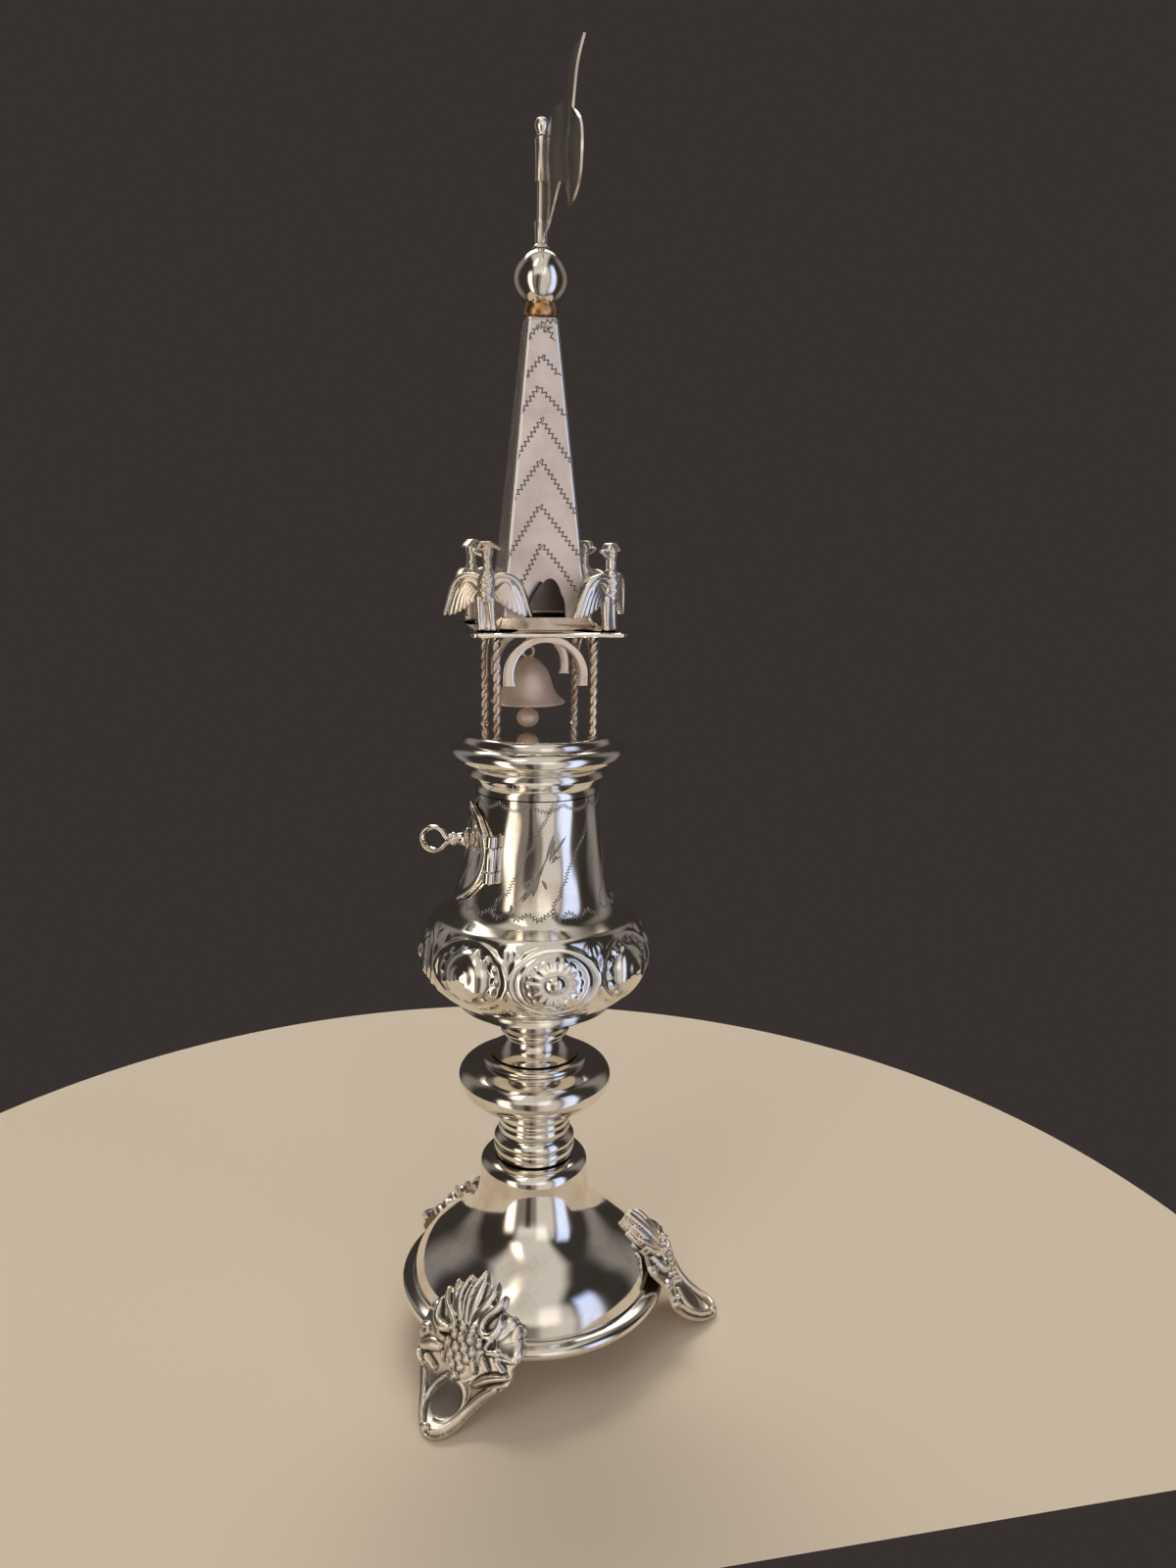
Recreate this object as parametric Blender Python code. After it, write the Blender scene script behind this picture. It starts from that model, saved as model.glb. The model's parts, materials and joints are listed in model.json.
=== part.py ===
"""Silver spice tower: footed base, knop, pear-shaped spice box with a door, bell house, spire and flag.

Everything is modelled about the tower's own centre line, in millimetres times MM.
The empty "tower" carries all pieces and stands where the origin falls under the middle of the footprint.
Front is -Y, the door is on the -X side.
"""
import math

import bmesh
import bpy
from mathutils import Matrix, Vector

MM = 0.001

WALL = 0.8               # silver sheet of the turned pieces
GAP = 0.3                # between pieces that are soldered, screwed or resting together

# Flag's reach from the rod
FLAG_LENGTH = 41.0

# Base
RIM_RADIUS = 31.7
RIM_TOP = 14.0
RIM_BOTTOM = 12.4
BASE_TOP = 45.6

# Feet
FOOT_ANGLES = {"foot_front_left": -130.0, "foot_right": -10.0, "foot_back_left": 110.0}
TOE_REACH = 46.0         # toe tip from the centre line
FOOT_THICKNESS = 1.6
FOOT_HALF_WIDTH = 12.6
SOLE_HEIGHT = 1.2         # the toe's underside is flat where it comes this near to the table

# Feet, flag and rim reach unevenly about the centre line, so it stands beside the origin, which is the
# middle of the whole footprint.
AXIS_X = (RIM_RADIUS - TOE_REACH * math.cos(math.radians(FOOT_ANGLES["foot_right"]))) / 2 * MM
AXIS_Y = (FLAG_LENGTH - TOE_REACH * math.sin(math.radians(FOOT_ANGLES["foot_back_left"]))) / 2 * MM

# Stem and knop
STEM_LOWER_TOP = 56.9
KNOP_RADIUS = 17.8
KNOP_TOP = 71.1
STEM_UPPER_TOP = 80.7

# Spice box
BOX_BOTTOM = 81.0
BOX_TOP = 133.5
BELLY_RADIUS = 25.7      # between the medallions
MEDALLION_COUNT = 8
MEDALLION_RISE = 0.5
MEDALLION_HEIGHT = 94.6
MEDALLION_HALF = 8.2

# Door in the box's neck
DOOR_HEIGHT = 120.3
DOOR_HALF_HEIGHT = 11.1
DOOR_HALF_WIDTH = 9.7
DOOR_LAP = 1.3           # how far the door laps over the edge of its opening
DOOR_THICKNESS = 0.7
HINGE_ANGLE = -136.0     # round the neck, from +X
HINGE_RADIUS = 1.25
HINGE_BORE = 0.65
HINGE_PIN_RADIUS = 0.35
KNUCKLES = {"hinge_knuckle_bottom": (115.8, 118.1), "hinge_knuckle_top": (123.7, 126.0)}
DOOR_KNUCKLE = (118.4, 123.4)
HANDLE_HEIGHT = 122.8
HANDLE_RING_CENTRE = -22.7
HANDLE_RING_OUTER = 3.4
HANDLE_RING_INNER = 2.5
HANDLE_RING_WIDTH = 2.6
HANDLE_RING_TURN = -20.0

# Bell house
FLOOR_TOP = 146.8
PLATE_BOTTOM = 168.6
PLATE_THICKNESS = 0.8
PLATE_HALF = 16.2
POST_OFFSET = 10.3
POST_RADIUS = 0.9
ARCH_HALF = 9.0
ARCH_RISE = 8.3
ARCH_LEG_BOTTOM = 158.0
ARCH_LEG_WIDTH = 2.2
ARCH_CROWN_WIDTH = 1.2
ARCH_THICKNESS = 0.6

# Bell
BELL_X = -2.05
BELL_Y = 0.44
BELL_LIP = 153.2
BELL_RADIUS = 8.1
BELL_WALL = 0.7
CLAPPER_RADIUS = 2.55
CLAPPER_HEIGHT = 149.8
CLAPPER_WIRE = 0.4

# Spire
SKIRT_BOTTOM = PLATE_BOTTOM + PLATE_THICKNESS + GAP
SKIRT_HEIGHT = 2.2
SPIRE_BOTTOM = SKIRT_BOTTOM + SKIRT_HEIGHT + GAP
SPIRE_TOP = 232.0
SPIRE_HALF_BOTTOM = 9.2
SPIRE_HALF_TOP = 3.25
SPIRE_WALL = 0.6
GATE_HALF = 4.1
GATE_HEIGHT = 8.4
BALL_HEIGHT = 239.6
BALL_RADIUS = 5.8
ROD_RADIUS = 0.8
ROD_BOTTOM = 245.5
KNOB_BOTTOM = 266.0
KNOB_RADIUS = 1.4
KNOB_TOP = 269.3

# Flag
FLAG_THICKNESS = 0.5
FLAG_BORE = 1.05
FLAG_SLEEVE = 1.4
LOWER_SLEEVE = (246.2, 250.4)
UPPER_SLEEVE = (257.6, 265.6)

# Birds
BIRD_RADIUS = 18.0       # feet from the centre line, on the plate's diagonals
BIRD_THICKNESS = 1.8
BIRD_HEADINGS = {"front_left": -103.0, "front_right": -45.0, "back_right": 45.0, "back_left": 135.0}


def material(name, colour, roughness, metallic=1.0):
    """A metal finish for one kind of piece."""
    finish = bpy.data.materials.new(name)
    finish.use_nodes = True
    shader = finish.node_tree.nodes["Principled BSDF"]
    shader.inputs["Base Color"].default_value = (*colour, 1.0)
    shader.inputs["Roughness"].default_value = roughness
    shader.inputs["Metallic"].default_value = metallic
    return finish


def add_piece(name, bm, finish, location=(0.0, 0.0, 0.0), parent=None):
    """Turn a bmesh in millimetres into a named object in metres, under the tower's empty."""
    bmesh.ops.recalc_face_normals(bm, faces=bm.faces)
    bmesh.ops.scale(bm, vec=(MM, MM, MM), verts=bm.verts)
    mesh = bpy.data.meshes.new(name)
    bm.to_mesh(mesh)
    bm.free()
    mesh.shade_smooth()
    mesh.set_sharp_from_angle(angle=math.radians(35))
    piece = bpy.data.objects.new(name, mesh)
    bpy.context.collection.objects.link(piece)
    piece.data.materials.append(finish)
    piece.location = Vector(location) * MM
    piece.parent = parent or tower
    return piece


def cutter(name, bm):
    """A shape that only cuts other pieces."""
    shape = add_piece(name, bm, silver)
    shape.hide_render = True
    shape.display_type = "WIRE"
    return shape


def boolean(piece, operation, other):
    """Combine a piece with another shape by an exact Boolean modifier."""
    step = piece.modifiers.new(operation.lower(), "BOOLEAN")
    step.operation = operation
    step.solver = "EXACT"
    step.object = other


def turned(profile, segments, closed=True):
    """Spin a profile of (radius, height) points about the centre line.

    A closed profile makes a ring; an open one starts and ends on the centre line.
    """
    bm = bmesh.new()
    verts = [bm.verts.new((radius, 0.0, height)) for radius, height in profile]
    edges = [bm.edges.new(pair) for pair in zip(verts, verts[1:])]
    if closed:
        edges.append(bm.edges.new((verts[-1], verts[0])))
    bmesh.ops.spin(
        bm, geom=verts + edges, cent=(0, 0, 0), axis=(0, 0, 1), angle=math.tau, steps=segments
    )
    bmesh.ops.remove_doubles(bm, verts=bm.verts, dist=1e-4)
    return bm


def inward(profile, wall, skip=1):
    """The inner side of a turned wall: every skip-th point of the outer side moved inward along its normal."""
    inner = []
    for i in range(0, len(profile), skip):
        before = Vector(profile[max(i - 1, 0)])
        after = Vector(profile[min(i + 1, len(profile) - 1)])
        along = (after - before).normalized()
        inner.append((profile[i][0] + along.y * wall, profile[i][1] - along.x * wall))
    return inner


def extruded(outline, depth):
    """A flat plate: an outline of (x, z) points, given a thickness along Y about the outline's plane."""
    bm = bmesh.new()
    face = bm.faces.new([bm.verts.new((x, -depth / 2, z)) for x, z in outline])
    swept = bmesh.ops.extrude_face_region(bm, geom=[face])
    moved = [item for item in swept["geom"] if isinstance(item, bmesh.types.BMVert)]
    bmesh.ops.translate(bm, vec=(0, depth, 0), verts=moved)
    return bm


def tube(start, end, radius, sides=12, bore=0.0):
    """A straight round bar, or a pipe if it has a bore, between two points."""
    along = end - start
    half = along.length / 2
    if bore:
        bm = turned([(bore, -half), (radius, -half), (radius, half), (bore, half)], sides)
    else:
        bm = turned([(0, -half), (radius, -half), (radius, half), (0, half)], sides, closed=False)
    turn = Vector((0, 0, 1)).rotation_difference(along).to_matrix().to_4x4()
    bmesh.ops.transform(bm, matrix=Matrix.Translation((start + end) / 2) @ turn, verts=bm.verts)
    return bm


def interpolate(points, x):
    """Straight-line interpolation through (x, y) points in rising x."""
    for (x0, y0), (x1, y1) in zip(points, points[1:]):
        if x <= x1:
            return y0 + (y1 - y0) * (x - x0) / (x1 - x0)
    return points[-1][1]


# ---------------------------------------------------------------- scene

for old in list(bpy.data.objects):
    bpy.data.objects.remove(old)

silver = material("polished_silver", (0.90, 0.88, 0.84), 0.12)
cast_silver = material("cast_silver", (0.80, 0.77, 0.71), 0.32)
satin_silver = material("satin_silver", (0.86, 0.84, 0.81), 0.38)
bell_metal = material("bell_metal", (0.80, 0.70, 0.60), 0.45)
solder_brass = material("brass", (0.78, 0.60, 0.36), 0.30)

tower = bpy.data.objects.new("tower", None)
tower.location = (AXIS_X, AXIS_Y, 0.0)
bpy.context.collection.objects.link(tower)


# ---------------------------------------------------------------- base

BASE_OUTER = [
    (10.4, BASE_TOP), (12.0, 44.3), (12.6, 42.0), (12.8, 36.0), (13.6, 31.0), (15.8, 28.2),
    (22.0, 25.2), (26.4, 21.3), (28.3, 17.6), (28.7, 15.2), (RIM_RADIUS, RIM_TOP), (RIM_RADIUS, RIM_BOTTOM),
]


def make_base():
    """The spun bell-shaped base, open below, closed on top where the stem screws on."""
    inner = inward(BASE_OUTER[:10], WALL, skip=2)[1:] + [(27.9, RIM_BOTTOM)]
    profile = [(0, BASE_TOP)] + BASE_OUTER + inner[::-1] + [(0, BASE_TOP - WALL)]
    add_piece("base", turned(profile, 28, closed=False), silver)


make_base()


# ---------------------------------------------------------------- feet

# The foot's midline as (distance from the centre line, height): it lies on the dome, passes the rim
# and slopes down to the toe.
FOOT_LINE = [
    (19.4, 28.4), (24.6, 25.8), (28.6, 22.0), (31.2, 17.8), (33.3, 15.2), (34.2, 12.0), (35.2, 8.6),
    (37.6, 5.2), (41.0, 2.9), (TOE_REACH, 1.7),
]
# Half width of the leafy outline along the midline, as shares of its length and of the greatest width:
# a pointed fan, side leaves at the rim, a waist, and a shield running to the toe.
FOOT_OUTLINE = [
    (0.0, 0.06), (0.1, 0.42), (0.2, 0.62), (0.3, 0.86), (0.4, 0.95), (0.5, 1.0), (0.58, 0.84),
    (0.66, 0.8), (0.78, 0.62), (0.9, 0.42), (1.0, 0.14),
]
FOOT_STEPS = 13
FOOT_COLUMNS = 5


def foot_point(share, side, depth):
    """A point of the foot: share along its midline, side from -1 to 1 across it, depth below its top."""
    place = share * (len(FOOT_LINE) - 1)
    first = min(int(place), len(FOOT_LINE) - 2)
    start = Vector(FOOT_LINE[first])
    end = Vector(FOOT_LINE[first + 1])
    middle = start.lerp(end, place - first)
    before = Vector(FOOT_LINE[max(first - (place - first < 0.5), 0)])
    after = Vector(FOOT_LINE[min(first + 1 + (place - first >= 0.5), len(FOOT_LINE) - 1)])
    along = (after - before).normalized()
    middle += Vector((along.y, -along.x)) * depth
    across = side * FOOT_HALF_WIDTH * interpolate(FOOT_OUTLINE, share)
    radius = math.sqrt(middle.x ** 2 - across ** 2)
    return Vector((radius, across, middle.y))


def make_foot(name, angle):
    """A cast leaf foot: a thick curved leaf with a raised middle, wrapped round the base's rim."""
    bm = bmesh.new()
    top = []
    bottom = []
    for step in range(FOOT_STEPS + 1):
        share = step / FOOT_STEPS
        sides = [2 * column / FOOT_COLUMNS - 1 for column in range(FOOT_COLUMNS + 1)]
        fruit = 1.3 * math.exp(-((share - 0.5) / 0.16) ** 2)
        crown = [fruit * (1 - side * side) for side in sides]
        top.append([bm.verts.new(foot_point(share, side, -rise)) for side, rise in zip(sides, crown)])
        bottom.append([bm.verts.new(foot_point(share, side, FOOT_THICKNESS)) for side in sides])
    rows = range(FOOT_STEPS)
    columns = range(FOOT_COLUMNS)
    for i in rows:
        for j in columns:
            bm.faces.new((top[i][j], top[i][j + 1], top[i + 1][j + 1], top[i + 1][j]))
            bm.faces.new((bottom[i][j], bottom[i + 1][j], bottom[i + 1][j + 1], bottom[i][j + 1]))
        for j in (0, FOOT_COLUMNS):
            bm.faces.new((top[i][j], top[i + 1][j], bottom[i + 1][j], bottom[i][j]))
    for j in columns:
        for i in (0, FOOT_STEPS):
            bm.faces.new((top[i][j], bottom[i][j], bottom[i][j + 1], top[i][j + 1]))
    for vert in bm.verts:
        if vert.co.z < SOLE_HEIGHT:
            vert.co.z = 0.0
    foot = add_piece(name, bm, cast_silver)
    foot.rotation_euler.z = math.radians(angle)


for foot_name, foot_angle in FOOT_ANGLES.items():
    make_foot(foot_name, foot_angle)


# ---------------------------------------------------------------- stem and knop

def make_pipe(name, outer, segments, skip=1, finish=silver):
    """A turned tube of sheet: its outer side from top to bottom, and the inner side a wall's thickness in."""
    inner = inward(outer, WALL, skip)
    inner[0] = (outer[0][0] - WALL, outer[0][1])
    inner[-1] = (outer[-1][0] - WALL, outer[-1][1])
    add_piece(name, turned(outer + inner[::-1], segments), finish)


make_pipe("stem_lower", [
    (8.0, STEM_LOWER_TOP), (8.5, 52.4), (8.4, 51.6), (9.4, 50.0), (9.2, 47.6), (9.4, BASE_TOP + GAP),
], 20, skip=5)
make_pipe("knop", [
    (10.4, KNOP_TOP), (12.2, 70.2), (12.6, 69.2), (14.6, 68.4), (16.8, 67.2), (KNOP_RADIUS, 65.3),
    (16.9, 62.9), (14.6, 60.4), (11.4, 58.2), (8.2, STEM_LOWER_TOP + GAP),
], 26, skip=3)
make_pipe("stem_upper", [
    (7.4, STEM_UPPER_TOP), (7.0, 79.0), (7.9, 77.2), (6.5, 75.2), (7.2, 73.4), (10.0, KNOP_TOP + GAP),
], 20)


# ---------------------------------------------------------------- spice box

NECK = [(13.5, BOX_TOP), (14.0, 129.0), (15.3, 117.1), (17.0, 108.6), (18.4, 106.6)]
BELLY = [
    (20.0, 104.6), (22.6, 102.6), (24.8, 99.8), (BELLY_RADIUS, 96.6), (25.3, 93.4), (23.5, 90.4),
    (20.6, 87.8), (17.6, 86.0), (16.8, 84.6), (12.4, 82.2), (7.9, BOX_BOTTOM),
]


def neck_radius(height):
    """Outer radius of the spice box's neck at a height."""
    return interpolate([(z, r) for r, z in reversed(NECK)], height)


def door_outline(half_width, half_height, points=24):
    """A full oval, slightly pointed above and below, as (y, z) points."""
    outline = []
    for i in range(points):
        turn = math.tau * i / points
        swell = abs(math.cos(turn)) ** 0.9
        outline.append((
            math.copysign(swell, math.cos(turn)) * half_width,
            DOOR_HEIGHT + math.sin(turn) * half_height,
        ))
    return outline


def door_prism(outline):
    """An outline in the YZ plane, carried along X over the -X side of the neck."""
    bm = extruded(outline, 30.0)
    turn = Matrix.Translation((-15.0, 0, 0)) @ Matrix.Rotation(math.radians(90), 4, "Z")
    bmesh.ops.transform(bm, matrix=turn, verts=bm.verts)
    return bm


def make_box():
    """The pear-shaped box: eight medallions raised round the belly, and an opening for the door."""
    outer = NECK + BELLY
    inner = inward(outer[:-1], WALL, skip=3) + [(7.9, BOX_BOTTOM + WALL)]
    inner[0] = (outer[0][0] - WALL, outer[0][1])
    profile = [(0, BOX_BOTTOM + WALL)] + inner[::-1] + outer + [(0, BOX_BOTTOM)]
    bm = turned(profile, 40, closed=False)
    for vert in bm.verts:
        radius = math.hypot(vert.co.x, vert.co.y)
        rise = (vert.co.z - MEDALLION_HEIGHT) / MEDALLION_HALF
        on_outside = radius > interpolate([(z, r - WALL / 2) for r, z in reversed(outer)], vert.co.z)
        if abs(rise) < 1 and on_outside:
            across = math.cos(MEDALLION_COUNT * math.atan2(vert.co.y, vert.co.x))
            swell = MEDALLION_RISE * max(across, 0.0) * math.cos(rise * math.pi / 2)
            vert.co.x *= 1 + swell / radius
            vert.co.y *= 1 + swell / radius
    box = add_piece("spice_box", bm, silver)
    opening = door_outline(DOOR_HALF_WIDTH - DOOR_LAP, DOOR_HALF_HEIGHT - DOOR_LAP)
    boolean(box, "DIFFERENCE", cutter("door_opening", door_prism(opening)))


make_box()


# ---------------------------------------------------------------- door and its hinge

def hinge_point(height):
    """A point on the hinge's axis, which leans with the neck beside it."""
    radius = neck_radius(height) + GAP + HINGE_RADIUS
    angle = math.radians(HINGE_ANGLE)
    return Vector((radius * math.cos(angle), radius * math.sin(angle), height))


HINGE_LOW = hinge_point(KNUCKLES["hinge_knuckle_bottom"][0])
HINGE_HIGH = hinge_point(KNUCKLES["hinge_knuckle_top"][1])


def on_hinge(height):
    """The point of the straight hinge axis at a height."""
    share = (height - HINGE_LOW.z) / (HINGE_HIGH.z - HINGE_LOW.z)
    return HINGE_LOW.lerp(HINGE_HIGH, share)


door_axis = bpy.data.objects.new("door_axis", None)
door_axis.location = (HINGE_LOW + HINGE_HIGH) / 2 * MM
door_axis.parent = tower
bpy.context.collection.objects.link(door_axis)
FROM_DOOR_AXIS = -(HINGE_LOW + HINGE_HIGH) / 2


def make_door():
    """The door: a curved oval plate lapping over its opening, with the middle knuckle of the hinge."""
    shell = [(neck_radius(z) + GAP + DOOR_THICKNESS, z) for z in (132.6, 117.1, 108.6)]
    inner = [(radius - DOOR_THICKNESS, z) for radius, z in shell]
    door = add_piece("door", turned(shell + inner[::-1], 48), silver, FROM_DOOR_AXIS, door_axis)
    edge = cutter("door_edge", door_prism(door_outline(DOOR_HALF_WIDTH, DOOR_HALF_HEIGHT)))
    low = DOOR_KNUCKLE[0] + GAP
    high = DOOR_KNUCKLE[1] - GAP
    leaf_end = (neck_radius((low + high) / 2) + GAP) * math.sin(math.radians(HINGE_ANGLE))
    leaf = [(leaf_end, low), (0.0, low), (0.0, high), (leaf_end, high)]
    boolean(edge, "UNION", cutter("hinge_leaf", door_prism(leaf)))
    boolean(door, "INTERSECT", edge)
    knuckle = tube(on_hinge(DOOR_KNUCKLE[0]), on_hinge(DOOR_KNUCKLE[1]), HINGE_RADIUS, 12)
    boolean(door, "UNION", cutter("door_knuckle", knuckle))
    bore = tube(on_hinge(DOOR_KNUCKLE[0] - 1), on_hinge(DOOR_KNUCKLE[1] + 1), HINGE_BORE, 12)
    boolean(door, "DIFFERENCE", cutter("door_knuckle_bore", bore))


def make_hinge():
    """The box's two knuckles and the pin through all three."""
    for name, (low, high) in KNUCKLES.items():
        add_piece(name, tube(on_hinge(low), on_hinge(high), HINGE_RADIUS, 12, HINGE_BORE), silver)
    add_piece("hinge_pin", tube(HINGE_LOW, HINGE_HIGH, HINGE_PIN_RADIUS, 8), silver)


def make_handle():
    """The door's handle: a short stem with a band bent into a ring on its end."""
    stem_start = -(neck_radius(HANDLE_HEIGHT) + 2 * GAP + DOOR_THICKNESS)
    stem_end = HANDLE_RING_CENTRE + HANDLE_RING_OUTER - 0.3
    half = HANDLE_RING_WIDTH / 2
    ring = turned([
        (HANDLE_RING_INNER, -half), (HANDLE_RING_OUTER, -half),
        (HANDLE_RING_OUTER, half), (HANDLE_RING_INNER, half),
    ], 18)
    place = Matrix.Translation((HANDLE_RING_CENTRE, 0, HANDLE_HEIGHT))
    turn = Matrix.Rotation(math.radians(HANDLE_RING_TURN), 4, "Z") @ Matrix.Rotation(math.radians(90), 4, "X")
    bmesh.ops.transform(ring, matrix=place @ turn, verts=ring.verts)
    handle = add_piece("door_handle", ring, silver, FROM_DOOR_AXIS, door_axis)
    low = Vector((stem_start, 0, HANDLE_HEIGHT))
    high = Vector((stem_end, 0, HANDLE_HEIGHT))
    boolean(handle, "UNION", cutter("handle_stem", tube(low, high, 0.95, 10)))


make_door()
make_hinge()
make_handle()


# ---------------------------------------------------------------- collar under the bell house

COLLAR = [
    (16.1, FLOOR_TOP), (16.9, 145.0), (18.8, 144.2), (19.4, 142.8), (18.5, 141.1), (15.8, 139.9),
    (15.3, 137.9), (14.3, 136.1), (13.8, BOX_TOP + GAP),
]


def make_collar():
    """The stepped collar that closes the box and is the bell house's floor: spun in one with its top."""
    inner = [(12.9, BOX_TOP + GAP), (13.3, 136.0), (14.5, 138.9), (17.6, 143.7), (15.4, FLOOR_TOP - WALL)]
    profile = [(0, FLOOR_TOP)] + COLLAR + inner + [(0, FLOOR_TOP - WALL)]
    add_piece("collar", turned(profile, 28, closed=False), silver)


make_collar()


# ---------------------------------------------------------------- bell house

CORNERS = {"front_left": (-1, -1), "front_right": (1, -1), "back_right": (1, 1), "back_left": (-1, 1)}
SIDES = {"front": -90.0, "right": 0.0, "back": 90.0, "left": 180.0}


def make_post(name, x, y):
    """A post of two twisted wires, as an oblong section turned as it rises."""
    steps = 12
    turns = 3.0
    low = FLOOR_TOP + GAP
    high = PLATE_BOTTOM - GAP
    bm = bmesh.new()
    rings = []
    for step in range(steps + 1):
        share = step / steps
        twist = share * turns * math.tau / 2
        ring = []
        for wide, thin in ((1, 0.55), (-1, 0.55), (-1, -0.55), (1, -0.55)):
            section = Vector((wide * POST_RADIUS * 0.87, thin * POST_RADIUS, 0))
            section.rotate(Matrix.Rotation(twist, 3, "Z"))
            ring.append(bm.verts.new(section + Vector((0, 0, low + share * (high - low)))))
        rings.append(ring)
    for lower, upper in zip(rings, rings[1:]):
        for j in range(4):
            k = (j + 1) % 4
            bm.faces.new((lower[j], lower[k], upper[k], upper[j]))
    bm.faces.new(rings[0][::-1])
    bm.faces.new(rings[-1])
    add_piece(name, bm, silver, location=(x * POST_OFFSET, y * POST_OFFSET, 0))


def make_arch(name, angle):
    """An arch cut from sheet between two posts, its legs wider than its crown, which meets the plate."""
    steps = 8
    spring = PLATE_BOTTOM - GAP - ARCH_RISE
    half_opening = ARCH_HALF - ARCH_LEG_WIDTH
    opening_rise = ARCH_RISE - ARCH_CROWN_WIDTH
    outer = [(ARCH_HALF, ARCH_LEG_BOTTOM)]
    inner = [(half_opening, ARCH_LEG_BOTTOM)]
    for step in range(steps + 1):
        turn = math.pi * step / steps
        outer.append((ARCH_HALF * math.cos(turn), spring + ARCH_RISE * math.sin(turn)))
        inner.append((half_opening * math.cos(turn), spring + opening_rise * math.sin(turn)))
    outer.append((-ARCH_HALF, ARCH_LEG_BOTTOM))
    inner.append((-half_opening, ARCH_LEG_BOTTOM))
    bm = extruded(outer + inner[::-1], ARCH_THICKNESS)
    arch = add_piece(name, bm, silver)
    turn = math.radians(angle + 90)
    place = Vector((0, -POST_OFFSET * MM, 0))
    place.rotate(Matrix.Rotation(turn, 3, "Z"))
    arch.location = place
    arch.rotation_euler.z = turn


def make_plate():
    """The square plate that roofs the bell house and carries the spire and the birds."""
    bm = bmesh.new()
    bmesh.ops.create_cube(bm, size=1.0)
    bmesh.ops.scale(bm, vec=(2 * PLATE_HALF, 2 * PLATE_HALF, PLATE_THICKNESS), verts=bm.verts)
    bmesh.ops.translate(bm, vec=(0, 0, PLATE_BOTTOM + PLATE_THICKNESS / 2), verts=bm.verts)
    corners = [edge for edge in bm.edges if abs(edge.verts[0].co.z - edge.verts[1].co.z) > 0.1]
    bmesh.ops.bevel(bm, geom=corners, offset=1.2, segments=3, affect="EDGES", profile=0.5)
    add_piece("plate", bm, silver)


for corner, (corner_x, corner_y) in CORNERS.items():
    make_post("post_" + corner, corner_x, corner_y)
for side_name, side_angle in SIDES.items():
    make_arch("arch_" + side_name, side_angle)
make_plate()


# ---------------------------------------------------------------- bell

BELL = [
    (1.8, 162.8), (3.6, 161.6), (4.9, 159.8), (5.7, 157.5), (6.4, 155.6), (7.3, 154.2), (BELL_RADIUS, BELL_LIP),
]


def make_bell():
    """The little bell, its clapper, and the wire hook that hangs it from the plate."""
    inner = inward(BELL, BELL_WALL, skip=2)
    inner[-1] = (BELL_RADIUS - BELL_WALL, BELL_LIP)
    profile = [(0, 163.1)] + BELL + inner[::-1] + [(0, 162.3)]
    where = (BELL_X, BELL_Y, 0)
    add_piece("bell", turned(profile, 20, closed=False), bell_metal, location=where)

    ball = []
    for step in range(6):
        turn = math.pi * step / 7
        radius = CLAPPER_RADIUS * math.sin(turn)
        ball.append((radius, CLAPPER_HEIGHT - CLAPPER_RADIUS * math.cos(turn)))
    wire = [(CLAPPER_WIRE, CLAPPER_HEIGHT + CLAPPER_RADIUS + 0.2), (CLAPPER_WIRE, 161.8), (0, 161.8)]
    add_piece("clapper", turned(ball + wire, 12, closed=False), bell_metal, location=where)

    low = Vector((0, 0, 163.1 + GAP))
    high = Vector((0, 0, PLATE_BOTTOM - GAP))
    add_piece("bell_hook", tube(low, high, 0.6, 8), silver, location=where)


make_bell()


# ---------------------------------------------------------------- spire

def frustum_ring(half_bottom, half_top, low, high, wall, closed_top):
    """A square tapering tube of sheet, open below; its top is open or closed by a square of sheet."""
    bm = bmesh.new()
    bmesh.ops.create_cone(
        bm, cap_ends=True, segments=4, radius1=half_bottom * math.sqrt(2), radius2=half_top * math.sqrt(2),
        depth=high - low, matrix=Matrix.Translation((0, 0, (low + high) / 2)) @ Matrix.Rotation(math.pi / 4, 4, "Z"),
    )
    hollow = bmesh.new()
    inner_high = high - wall if closed_top else high + 1.0
    slope = (half_top - half_bottom) / (high - low)
    inner_top = half_top - wall + slope * (inner_high - high)
    inner_bottom = half_bottom - wall - slope
    bmesh.ops.create_cone(
        hollow, cap_ends=True, segments=4, radius1=inner_bottom * math.sqrt(2), radius2=inner_top * math.sqrt(2),
        depth=inner_high - low + 1.0,
        matrix=Matrix.Translation((0, 0, (low - 1.0 + inner_high) / 2)) @ Matrix.Rotation(math.pi / 4, 4, "Z"),
    )
    return bm, hollow


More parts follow.
